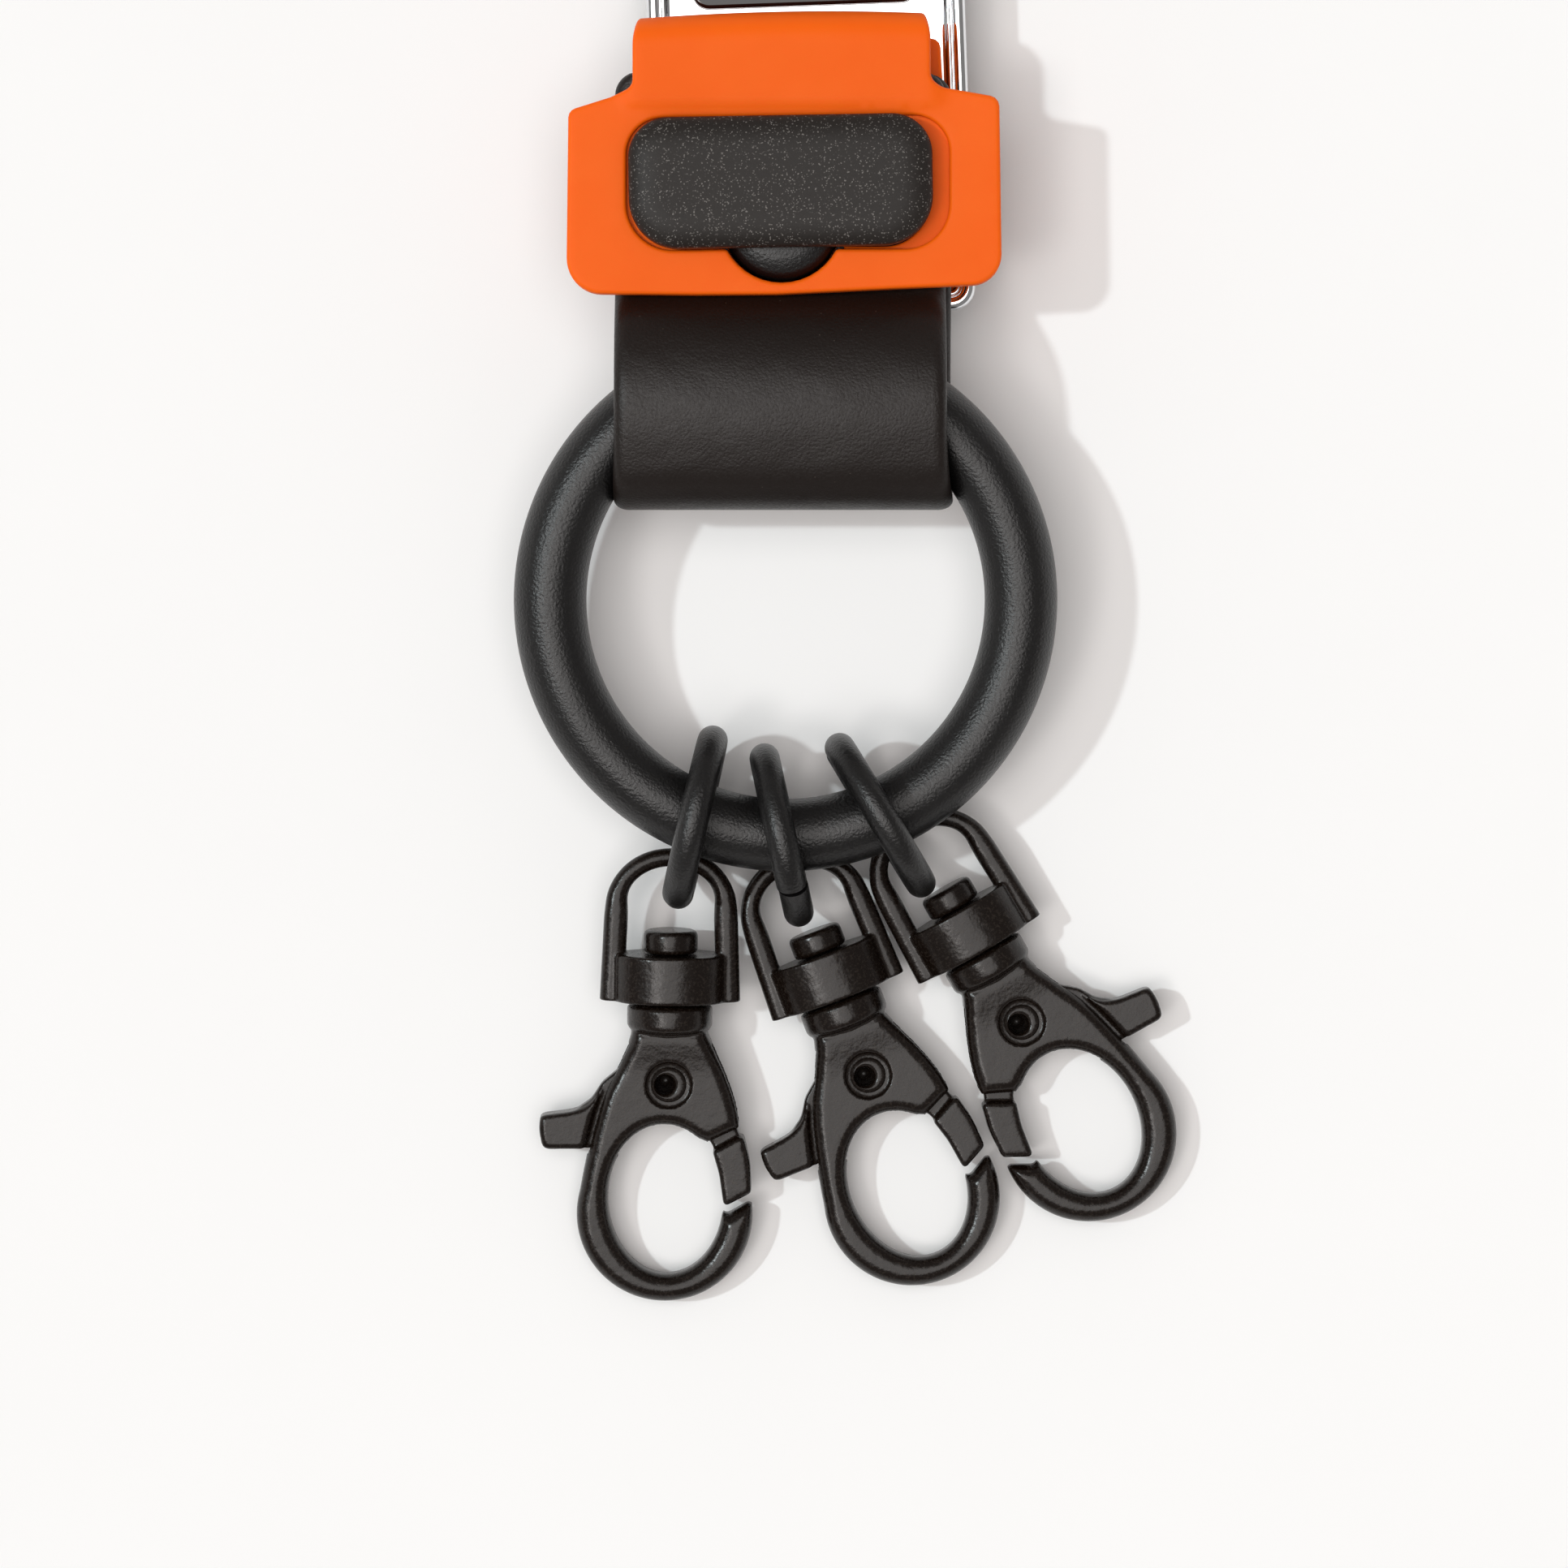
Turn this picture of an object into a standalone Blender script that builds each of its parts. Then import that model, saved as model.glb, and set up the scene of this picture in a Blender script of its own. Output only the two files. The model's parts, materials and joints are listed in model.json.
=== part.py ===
"""Key ring with a belt clip, a rubber latch, a rubber strap, a big ring and three swivel clasps.

The ring lies on its belt leaf, with the leaf's flat face at z = 0 and the strap running down -Y.
All places are in the clip's frame: the origin is the middle of the belt leaf's flat face.
"""

import math

import bmesh
import bpy
from mathutils import Matrix, Vector

MM = 0.001

# Clearances and small common sizes
SEAT_GAP = 0.1 * MM
SOFT_GAP = 0.3 * MM
RUNNING_GAP = 0.2 * MM
CUT_OVERRUN = 2.0 * MM
MERGE_DISTANCE = 0.01 * MM

# Belt clip
CLIP_TURN = math.radians(2.1)
PLATE_WIDTH = 26.4 * MM
PLATE_BOTTOM_Y = -21.2 * MM
PLATE_TOP_Y = 28.8 * MM
PLATE_CORNER = 2.0 * MM
TRAY_HEIGHT = 1.3 * MM
TRAY_FLOOR = 0.5 * MM
TRAY_EDGE = 0.35 * MM
OUTER_BEAD_WIDTH = 1.2 * MM
INNER_BEAD_WIDTH = 0.5 * MM
INNER_BEAD_DROP = 0.3 * MM
BACKING_THICKNESS = 0.6 * MM
BACKING_INSET = 0.7 * MM
BELT_GAP = 4.3 * MM
LEAF_THICKNESS = 0.9 * MM
LEAF_WIDTH = 16.0 * MM
LEAF_TIP_Y = -19.0 * MM
LEAF_THUMB_Y = 26.5 * MM
LEAF_CORNER = 3.0 * MM
LIP_LENGTH = 1.4 * MM
HINGE_Y = 18.0 * MM
HINGE_LIFT = 2.15 * MM
EAR_RADIUS = 1.7 * MM
EAR_THICKNESS = 0.9 * MM
EAR_SPACING = 12.0 * MM
HINGE_PIN_RADIUS = 0.75 * MM
PIN_HEAD_RADIUS = 1.2 * MM
PIN_HEAD_LENGTH = 0.5 * MM
SPRING_WIRE_RADIUS = 0.25 * MM
SPRING_TURNS = 6
SPRING_PITCH = 1.0 * MM
SPRING_LEG = 4.0 * MM
INLAY_SIDE_MARGIN = 3.8 * MM
INLAY_WIDTH = PLATE_WIDTH - 2 * INLAY_SIDE_MARGIN
INLAY_LENGTH = 22.0 * MM
INLAY_THICKNESS = 0.7 * MM
INLAY_TOP_MARGIN = 2.3 * MM
INLAY_CORNER = 1.5 * MM
RIVET_RADIUS = 0.9 * MM
RIVET_HEAD_RADIUS = 1.6 * MM
RIVET_HEAD_THICKNESS = 0.5 * MM
RIVET_SIDE_MARGIN = 5.7 * MM
RIVET_SPACING = PLATE_WIDTH - 2 * RIVET_SIDE_MARGIN
LATCH_RIVET_Y = -3.0 * MM
INLAY_RIVET_Y = 22.0 * MM

# Rubber latch
LATCH_X = -2.16 * MM
PEG_Y = -13.9 * MM
BASE_SIDE_MARGIN = 2.2 * MM
BASE_WIDTH = PLATE_WIDTH - 2 * BASE_SIDE_MARGIN
BASE_BOTTOM_Y = -19.4 * MM
BASE_THICKNESS = 1.7 * MM
TAB_THICKNESS = 2.0 * MM
TAB_OFFSET = 0.2 * MM
TAB_WIDTH = 35.4 * MM
TAB_BELOW_PEG = 5.9 * MM
TAB_ABOVE_PEG = 10.3 * MM
TAB_TOP_CORNER = 0.8 * MM
TAB_BOTTOM_CORNER = 3.0 * MM
NECK_WIDTH = 24.6 * MM
NECK_FILLET = 1.4 * MM
FOLD_HINGE_Y = -0.35 * MM
FOLD_TOP_Y = 3.3 * MM
FOLD_WALL = 2.0 * MM
FOLD_RADIUS = 1.6 * MM
FOLD_ARM_BELOW_HINGE = 0.6 * MM
RUBBER_EDGE = 0.4 * MM
WINDOW_OFFSET = 0.45 * MM
WINDOW_SIDE_GAP = 0.75 * MM
WINDOW_CORNER = 3.8 * MM

# Peg
PEG_STEM_RADIUS = 4.75 * MM
PEG_HEAD_WIDTH = 24.8 * MM
PEG_HEAD_HEIGHT = 10.75 * MM
PEG_HEAD_ABOVE = 3.1 * MM
PEG_HEAD_THICKNESS = 2.3 * MM
PEG_HEAD_EDGE = 0.8 * MM
PEG_HEAD_CORNER = 3.3 * MM
PEG_CROWN = 0.7 * MM
PEG_SPIGOT_RADIUS = 2.0 * MM
WASHER_RADIUS = 4.6 * MM
WASHER_THICKNESS = 0.75 * MM

# Strap
STRAP_WIDTH = 27.2 * MM
STRAP_THICKNESS = 1.6 * MM
STRAP_TOP_Y = -1.4 * MM
STRAP_JOINT_Y = -19.95 * MM
STRAP_JOINT_GAP = 0.4 * MM
STRAP_CORNER = 2.0 * MM
LOOP_END_BLOCK = 1.7 * MM
LOOP_POCKET_LENGTH = 7.1 * MM

# Big ring
RING_X = 0.33 * MM
RING_RADIUS = 19.42 * MM
RING_TUBE_RADIUS = 3.0 * MM
RING_TOP_DROP = 5.5 * MM
RING_TOP_Z = 11.0 * MM
RING_BOTTOM_Z = 7.85 * MM

# Jump rings
JUMP_RADIUS = 6.5 * MM
JUMP_WIRE_RADIUS = 1.25 * MM
JUMP_SPLIT = 0.3 * MM

# Swivel bails
BAIL_HALF_WIDTH = 4.55 * MM
BAIL_WIRE_RADIUS = 0.9 * MM
BAIL_REACH = 10.1 * MM
BAIL_SHOULDER = 6.2 * MM
BARREL_RADIUS = 3.5 * MM
BARREL_HALF_LENGTH = 2.0 * MM
BARREL_EDGE = 0.4 * MM
SWIVEL_SHANK_RADIUS = 1.3 * MM
SWIVEL_HEAD_RADIUS = 2.25 * MM
SWIVEL_HEAD_LENGTH = 1.9 * MM
SWIVEL_HEAD_EDGE = 0.5 * MM
SWIVEL_SEAT_DEPTH = 1.9 * MM

# Swivel clasps
CLASP_REACH = 27.1 * MM
CLASP_THICKNESS = 3.4 * MM
CLASP_EDGE = 0.6 * MM
COLLAR_RADIUS = 3.4 * MM
COLLAR_LENGTH = 2.1 * MM
WAIST_RADIUS = 2.7 * MM
WAIST_LENGTH = 1.6 * MM
SLOT_HEIGHT = 1.8 * MM
LEVER_THICKNESS = 1.4 * MM
LEVER_PAD_THICKNESS = 3.0 * MM
LEVER_EDGE = 0.25 * MM
CLASP_RIVET_RADIUS = 1.2 * MM
CLASP_RIVET_HEAD_RADIUS = 1.75 * MM
CLASP_RIVET_BORE = 0.75 * MM
CLASP_RIVET_PROUD = 0.25 * MM
LEVER_SPRING_WIRE = 0.2 * MM
LEVER_SPRING_POCKET_DEPTH = 0.75 * MM

# Shares of the clasp's reach from its swivel to the end of its hook: across, then along
HOOK_CENTRE_SHARES = (-0.008, 0.732)
HOOK_OUTER_SHARE = 0.271
HOOK_INNER_SHARE = 0.180
EYE_TOP_CENTRE_SHARES = (0.020, 0.589)
EYE_TOP_SHARE = 0.130
RIVET_PLACE_SHARES = (0.0, 0.326)
BODY_RIGHT_SHARES = ((0.110, 0.165), (0.173, 0.278), (0.223, 0.424), (0.2205, 0.461))
CHEEK_END_SHARES = (0.128, 0.511)
HOOK_TIP_SHARES = ((0.170, 0.739), (0.261, 0.689))
BODY_LEFT_SHARES = ((-0.261, 0.541), (-0.2055, 0.343), (-0.158, 0.246), (-0.110, 0.165))
SLOT_SHARES = (0.203, 0.550)
LEVER_HUB_SHARE = 0.113
LEVER_HUB_ARC = (-140, -30)
LEVER_RIGHT_SHARES = ((0.198, 0.425), (0.217, 0.480), (0.212, 0.545), (0.155, 0.560), (0.131, 0.505))
LEVER_LEFT_SHARES = (
    (0.050, 0.441), (-0.075, 0.441), (-0.150, 0.476), (-0.240, 0.534),
    (-0.290, 0.530), (-0.290, 0.412), (-0.238, 0.371), (-0.205, 0.326), (-0.113, 0.260),
)
GATE_SHARES = ((0.136, 0.531), (0.158, 0.602), (0.173, 0.707), (0.262, 0.659), (0.250, 0.541), (0.229, 0.478))
THUMB_SHARES = (
    (-0.278, 0.408), (-0.305, 0.416), (-0.392, 0.422), (-0.402, 0.436), (-0.386, 0.527), (-0.374, 0.532),
    (-0.278, 0.532),
)

# Each chain of jump ring, bail and clasp: its place round the big ring as a share of a bail's half
# width, its fan as a share of a clasp's reach, where it hangs along its bail, and its angles in degrees
CHAINS = (
    dict(
        ring_share=-1.684, jump_turn=9.8, below=31.8, bail_share=0.264, fan_share=-0.675,
        tilt=23.6, pitch=6.3, side=1, split=8.0,
    ),
    dict(
        ring_share=-0.0745, jump_turn=13.3, below=56.5, bail_share=0.007, fan_share=0.0,
        tilt=20.8, pitch=3.6, side=1, split=50.0,
    ),
    dict(
        ring_share=1.7655, jump_turn=7.5, below=59.7, bail_share=-0.349, fan_share=0.526,
        tilt=17.13, pitch=3.7, side=-1, split=200.0,
    ),
)
MIDDLE_CHAIN = CHAINS[1]
WIDEST_SHARE = 0.5
# How far past the middle of its free space a bail's wire hangs, as a share of the wire's radius
HANG_SHARE = 0.05

# Arcs in degrees, from first to last
EYE_TOP_ARC = (-40, -160)
HOOK_INNER_ARC = (180, 8)
HOOK_OUTER_ARC = (0, 188)
LEVER_SPRING_ARC = (100, 400)
SHARP_ANGLE = 35

# Counts of steps round curves
EYE_TOP_STEPS = 6
HOOK_INNER_STEPS = 12
HOOK_OUTER_STEPS = 14
STRAP_HOLE_STEPS = 24
RING_STEPS = 56
RING_SIDES = 14
JUMP_STEPS = 30
TURN_STEPS = 20
CORNER_STEPS = 4
WIRE_DETAIL = 2
FINE_WIRE_DETAIL = 1
CURL_STEPS = 9

# Heights that follow from the stack
LEAF_TOP_Z = LEAF_THICKNESS
BACKING_Z = LEAF_TOP_Z + BELT_GAP
HINGE_Z = LEAF_TOP_Z + HINGE_LIFT
TRAY_Z = BACKING_Z + BACKING_THICKNESS + SEAT_GAP
TRAY_FLOOR_Z = TRAY_Z + TRAY_FLOOR
TRAY_TOP_Z = TRAY_Z + TRAY_HEIGHT
BASE_Z = TRAY_FLOOR_Z + SEAT_GAP
BASE_TOP_Z = BASE_Z + BASE_THICKNESS
STRAP_BACK_Z = BASE_TOP_Z + RUNNING_GAP
STRAP_FRONT_Z = STRAP_BACK_Z + STRAP_THICKNESS + SOFT_GAP
STRAP_TOP_Z = STRAP_FRONT_Z + STRAP_THICKNESS
TAB_Z = STRAP_TOP_Z + SOFT_GAP
TAB_TOP_Z = TAB_Z + TAB_THICKNESS
PEG_HEAD_Z = TAB_TOP_Z + SOFT_GAP
WASHER_Z = BASE_TOP_Z - SEAT_GAP - WASHER_THICKNESS

# Places that follow from the latch
PEG_HEAD_Y = PEG_Y + PEG_HEAD_ABOVE
HEAD_LOW_Y = PEG_HEAD_Y - PEG_HEAD_HEIGHT / 2
HEAD_HIGH_Y = PEG_HEAD_Y + PEG_HEAD_HEIGHT / 2
RING_TOP_Y = STRAP_JOINT_Y - RING_TOP_DROP
RING_CENTRE = Vector((LATCH_X + RING_X, RING_TOP_Y - RING_RADIUS, (RING_TOP_Z + RING_BOTTOM_Z) / 2))
RING_TILT = math.atan2(RING_TOP_Z - RING_BOTTOM_Z, 2 * RING_RADIUS)


def clear_scene():
    for item in list(bpy.data.objects):
        bpy.data.objects.remove(item, do_unlink=True)


def new_collection(name):
    made = bpy.data.collections.new(name)
    bpy.context.scene.collection.children.link(made)
    return made


def make_material(name, colour, roughness, metallic):
    made = bpy.data.materials.new(name)
    made.use_nodes = True
    shader = made.node_tree.nodes["Principled BSDF"]
    shader.inputs["Base Color"].default_value = (*colour, 1.0)
    shader.inputs["Roughness"].default_value = roughness
    shader.inputs["Metallic"].default_value = metallic
    made.diffuse_color = (*colour, 1.0)
    return made


# Building helpers

def arc(centre, radius, start, end, steps):
    """Points on an arc, in degrees, both ends included."""
    angles = [math.radians(start + (end - start) * i / steps) for i in range(steps + 1)]
    return [(centre[0] + radius * math.cos(a), centre[1] + radius * math.sin(a)) for a in angles]


def rounded_rectangle(low, high, radius, top_radius=None):
    """The outline of a rectangle from its low to its high corner, with rounded corners."""
    upper = radius if top_radius is None else top_radius
    points = arc((low[0] + radius, low[1] + radius), radius, 180, 270, CORNER_STEPS)
    points += arc((high[0] - radius, low[1] + radius), radius, 270, 360, CORNER_STEPS)
    points += arc((high[0] - upper, high[1] - upper), upper, 0, 90, CORNER_STEPS)
    points += arc((low[0] + upper, high[1] - upper), upper, 90, 180, CORNER_STEPS)
    return points


def finish_mesh(item, material, parent, collection):
    item.data.materials.clear()
    item.data.materials.append(material)
    item.data.shade_smooth()
    item.data.set_sharp_from_angle(angle=math.radians(SHARP_ANGLE))
    collection.objects.link(item)
    item.parent = parent
    return item


def mesh_from_curve(name, curve, matrix):
    """A closed mesh made from a curve, with its caps welded on."""
    holder = bpy.data.objects.new(name + "_curve", curve)
    bpy.context.scene.collection.objects.link(holder)
    evaluated = holder.evaluated_get(bpy.context.evaluated_depsgraph_get())
    mesh = bpy.data.meshes.new_from_object(evaluated)
    bpy.data.objects.remove(holder, do_unlink=True)
    bpy.data.curves.remove(curve)
    shape = bmesh.new()
    shape.from_mesh(mesh)
    bmesh.ops.remove_doubles(shape, verts=shape.verts, dist=MERGE_DISTANCE)
    bmesh.ops.recalc_face_normals(shape, faces=shape.faces)
    shape.to_mesh(mesh)
    shape.free()
    item = bpy.data.objects.new(name, mesh)
    item.matrix_local = matrix
    return item


def prism(name, outlines, thickness, edge, matrix, detail=1):
    """A flat outline, with any holes, given a thickness about its own plane and rounded edges."""
    curve = bpy.data.curves.new(name, "CURVE")
    curve.dimensions = "2D"
    curve.fill_mode = "BOTH"
    curve.extrude = thickness / 2 - edge
    curve.bevel_depth = edge
    curve.bevel_resolution = detail if edge else 0
    curve.offset = -edge
    for outline in outlines:
        spline = curve.splines.new("POLY")
        spline.points.add(len(outline) - 1)
        for point, place in zip(spline.points, outline):
            point.co = (place[0], place[1], 0, 1)
        spline.use_cyclic_u = True
    return mesh_from_curve(name, curve, matrix)


def wire(name, points, radius, matrix, detail=WIRE_DETAIL):
    """A round wire along a list of points, with filled ends."""
    curve = bpy.data.curves.new(name, "CURVE")
    curve.dimensions = "3D"
    curve.bevel_depth = radius
    curve.bevel_resolution = detail
    curve.use_fill_caps = True
    spline = curve.splines.new("POLY")
    spline.points.add(len(points) - 1)
    for point, place in zip(spline.points, points):
        point.co = (*place, 1)
    return mesh_from_curve(name, curve, matrix)


def turned(name, profile, matrix, closed=False):
    """A profile of radius and height, top to bottom down its outer side, turned about its axis."""
    mesh = bpy.data.meshes.new(name)
    ends = len(profile) if closed else len(profile) - 1
    edges = [(i, (i + 1) % len(profile)) for i in range(ends)]
    mesh.from_pydata([(radius, 0, height) for radius, height in profile], edges, [])
    item = bpy.data.objects.new(name, mesh)
    screw = item.modifiers.new("turn", "SCREW")
    screw.steps = TURN_STEPS
    screw.render_steps = TURN_STEPS
    screw.use_merge_vertices = True
    screw.merge_threshold = MERGE_DISTANCE
    bpy.context.scene.collection.objects.link(item)
    evaluated = item.evaluated_get(bpy.context.evaluated_depsgraph_get())
    solid = bpy.data.meshes.new_from_object(evaluated)
    bpy.data.objects.remove(item, do_unlink=True)
    made = bpy.data.objects.new(name, solid)
    made.matrix_local = matrix
    return made


def block(name, low, high, matrix=None):
    """A box between two corners."""
    mesh = bpy.data.meshes.new(name)
    shape = bmesh.new()
    bmesh.ops.create_cube(shape, size=1.0)
    size = Vector(high) - Vector(low)
    middle = (Vector(high) + Vector(low)) / 2
    place = Matrix.Translation(middle) @ Matrix.Diagonal((*size, 1))
    bmesh.ops.transform(shape, matrix=place, verts=shape.verts)
    shape.to_mesh(mesh)
    shape.free()
    item = bpy.data.objects.new(name, mesh)
    item.matrix_local = matrix or Matrix()
    return item


def rod(name, start, end, radius, matrix=None):
    """A round bar between two points."""
    axis = Vector(end) - Vector(start)
    mesh = bpy.data.meshes.new(name)
    shape = bmesh.new()
    bmesh.ops.create_cone(
        shape, cap_ends=True, segments=TURN_STEPS, radius1=radius, radius2=radius, depth=axis.length
    )
    place = Matrix.Translation((Vector(start) + Vector(end)) / 2)
    place = place @ axis.to_track_quat("Z", "Y").to_matrix().to_4x4()
    bmesh.ops.transform(shape, matrix=place, verts=shape.verts)
    shape.to_mesh(mesh)
    shape.free()
    item = bpy.data.objects.new(name, mesh)
    item.matrix_local = matrix or Matrix()
    return item


def combine(target, tool, operation, tools):
    """A live Boolean on the target, with the tool kept out of the render."""
    tools.objects.link(tool)
    tool.parent = target.parent
    tool.hide_render = True
    tool.display_type = "WIRE"
    boolean = target.modifiers.new(operation.lower(), "BOOLEAN")
    boolean.operation = operation
    boolean.solver = "EXACT"
    boolean.object = tool


def cut(target, tool, tools):
    combine(target, tool, "DIFFERENCE", tools)


def join(target, tool, tools):
    combine(target, tool, "UNION", tools)


def empty(name, parent, matrix, collection):
    made = bpy.data.objects.new(name, None)
    made.empty_display_size = PLATE_CORNER
    collection.objects.link(made)
    made.parent = parent
    made.matrix_local = matrix
    return made


def raised(height):
    return Matrix.Translation((0, 0, height))


# Frames of the chains

def ring_matrix():
    return Matrix.Translation(RING_CENTRE) @ Matrix.Rotation(RING_TILT, 4, "X")


def jump_matrix(chain):
    """A jump ring's frame: X outwards from the big ring's tube, Y up, Z along its own axis."""
    angle = chain["ring_share"] * BAIL_HALF_WIDTH / RING_RADIUS
    on_ring = ring_matrix() @ Vector((RING_RADIUS * math.sin(angle), -RING_RADIUS * math.cos(angle), 0))
    turn = angle + math.radians(chain["jump_turn"])
    outwards = Vector((math.sin(turn), -math.cos(turn), 0))
    up = Vector((0, 0, 1))
    axes = Matrix((outwards, up, outwards.cross(up))).transposed().to_4x4()
    return Matrix.Translation(on_ring) @ axes


def contact_radius():
    """From the tube's centre to the middle of the bail's wire, just past halfway across the free space."""
    return (RING_TUBE_RADIUS + JUMP_RADIUS - JUMP_WIRE_RADIUS) / 2 + HANG_SHARE * BAIL_WIRE_RADIUS


def contact_point(chain):
    """Where the bail's wire hangs inside its jump ring."""
    below = math.radians(chain["below"])
    radius = contact_radius()
    return jump_matrix(chain) @ Vector((radius * math.cos(below), -radius * math.sin(below), 0))


def bail_top(across):
    """How far the bail's arched top stands from the swivel, at a place across it."""
    return BAIL_SHOULDER + (BAIL_REACH - BAIL_SHOULDER) * math.sqrt(1 - (across / BAIL_HALF_WIDTH) ** 2)


def fan_turn(chain):
    """How far a chain leans away from the middle one, so that the clasps' widest places lie side by side."""
    spacing = (contact_point(chain) - contact_point(MIDDLE_CHAIN)).length
    wanted = abs(chain["fan_share"]) * CLASP_REACH
    reach = BAIL_REACH + WIDEST_SHARE * CLASP_REACH
    return math.copysign(math.asin((wanted - spacing) / reach), chain["fan_share"])


def chain_matrix(chain):
    """A chain's frame at its swivel: X across, Y towards the bail, Z up."""
    turn = Matrix.Rotation(math.radians(chain["tilt"]) + fan_turn(chain), 4, "Z")
    turn = turn @ Matrix.Rotation(math.radians(chain["pitch"]), 4, "X")
    across = chain["bail_share"] * BAIL_HALF_WIDTH
    hang = turn @ Vector((across, bail_top(across), 0))
    return Matrix.Translation(contact_point(chain) - hang) @ turn


def clasp_point(share, side):
    return (side * share[0] * CLASP_REACH, -share[1] * CLASP_REACH)


def clasp_points(shares, side):
    return [clasp_point(share, side) for share in shares]


def clasp_arc(centre, radius_share, start, end, steps, side):
    """An arc in shares of the clasp's reach, in degrees from across towards the hook."""
    angles = [math.radians(start + (end - start) * i / steps) for i in range(steps + 1)]
    across, along = centre
    shares = [(across + radius_share * math.cos(a), along + radius_share * math.sin(a)) for a in angles]
    return clasp_points(shares, side)


ALONG_Y = Matrix.Rotation(math.radians(-90), 4, "X")
ALONG_X = Matrix.Rotation(math.radians(90), 4, "Y")
SIDE_ON = Matrix(((0, 0, 1, 0), (1, 0, 0, 0), (0, 1, 0, 0), (0, 0, 0, 1)))


# Belt clip

def clip_tray(frame, material, parts, tools):
    """The chrome tray: a rounded plate, sunk inside a rim of two beads."""
    half = PLATE_WIDTH / 2
    outline = rounded_rectangle((-half, PLATE_BOTTOM_Y), (half, PLATE_TOP_Y), PLATE_CORNER)
    tray = prism("chrome_tray", [outline], TRAY_HEIGHT, TRAY_EDGE, raised(TRAY_Z + TRAY_HEIGHT / 2))
    finish_mesh(tray, material, frame, parts)
    inset = OUTER_BEAD_WIDTH
    depths = ((inset, TRAY_TOP_Z - INNER_BEAD_DROP), (inset + INNER_BEAD_WIDTH, TRAY_FLOOR_Z))
    for step, floor in depths:
        low = (-half + step, PLATE_BOTTOM_Y + step)
        high = (half - step, PLATE_TOP_Y - step)
        corner = max(PLATE_CORNER - step, TRAY_EDGE)
        top = TRAY_TOP_Z + CUT_OVERRUN
        pocket = prism(
            "tray_pocket", [rounded_rectangle(low, high, corner)], top - floor, 0, raised((top + floor) / 2)
        )
        cut(tray, pocket, tools)
    drill_rivets(tray, tools)
    sink_rivet_heads(tray, tools)
    return tray


def rivet_places():
    """Names, places and top heights of the four rivets through the clip."""
    half = RIVET_SPACING / 2
    latch_top = BASE_TOP_Z - SEAT_GAP
    inlay_top = TRAY_FLOOR_Z
    return (
        ("latch_rivet_left", (-half, LATCH_RIVET_Y), latch_top),
        ("latch_rivet_right", (half, LATCH_RIVET_Y), latch_top),
        ("plate_rivet_left", (-half, INLAY_RIVET_Y), inlay_top),
        ("plate_rivet_right", (half, INLAY_RIVET_Y), inlay_top),
    )


def drill_rivets(target, tools):
    """Holes for the shanks of the four rivets."""
    for name, place, top in rivet_places():
        hole = rod(
            name + "_hole", (*place, BACKING_Z - CUT_OVERRUN), (*place, top + CUT_OVERRUN),
            RIVET_RADIUS + SEAT_GAP,
        )
        cut(target, hole, tools)


def sink_rivet_heads(target, tools):
    """Seats in the tray's floor for the thin heads of the two rivets under the inlay."""
    for name, place, top in rivet_places():
        if top == TRAY_FLOOR_Z:
            floor = top - RIVET_HEAD_THICKNESS / 2 - SEAT_GAP
            seat = rod(
                name + "_seat", (*place, floor), (*place, top + CUT_OVERRUN), RIVET_HEAD_RADIUS + SEAT_GAP
            )
            cut(target, seat, tools)


def clip_rivets(frame, material, parts):
    for name, place, top in rivet_places():
        thin = RIVET_HEAD_THICKNESS if top > TRAY_FLOOR_Z else RIVET_HEAD_THICKNESS / 2
        profile = (
            (0, top), (RIVET_HEAD_RADIUS, top), (RIVET_HEAD_RADIUS, top - thin),
            (RIVET_RADIUS, top - thin), (RIVET_RADIUS, BACKING_Z), (0, BACKING_Z),
        )
        rivet = turned(name, profile, Matrix.Translation((*place, 0)))
        finish_mesh(rivet, material, frame, parts)


def ear_outline(z_from, z_to):
    """A rounded ear seen along X, as points of Y and Z, from a flat root to the hinge line."""
    radius = EAR_RADIUS
    if z_to > z_from:
        rounded = arc((HINGE_Y, HINGE_Z), radius, 0, 180, 2 * CORNER_STEPS)
        return [(HINGE_Y - radius, z_from), (HINGE_Y + radius, z_from)] + rounded
    rounded = arc((HINGE_Y, HINGE_Z), radius, 180, 360, 2 * CORNER_STEPS)
    return [(HINGE_Y + radius, z_from), (HINGE_Y - radius, z_from)] + rounded


def add_ears(target, spacing, z_from, z_to, tools):
    for side in (-1, 1):
        place = Matrix.Translation((side * spacing / 2, 0, 0)) @ SIDE_ON
        ear = prism("ear", [ear_outline(z_from, z_to)], EAR_THICKNESS, 0, place)
        join(target, ear, tools)
    reach = spacing / 2 + EAR_THICKNESS + CUT_OVERRUN
    bore = rod("ear_bore", (-reach, HINGE_Y, HINGE_Z), (reach, HINGE_Y, HINGE_Z), HINGE_PIN_RADIUS + SEAT_GAP)
    cut(target, bore, tools)


def clip_backing(frame, material, parts, tools):
    """The black backing plate under the tray, with the two ears that carry the hinge pin."""
    half = PLATE_WIDTH / 2 - BACKING_INSET
    outline = rounded_rectangle(
        (-half, PLATE_BOTTOM_Y + BACKING_INSET), (half, PLATE_TOP_Y - BACKING_INSET), PLATE_CORNER
    )
    middle = BACKING_Z + BACKING_THICKNESS / 2
    backing = prism("clip_backing", [outline], BACKING_THICKNESS, 0, raised(middle))
    finish_mesh(backing, material, frame, parts)
    add_ears(backing, EAR_SPACING, middle, HINGE_Z, tools)
    drill_rivets(backing, tools)
    return backing


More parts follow.
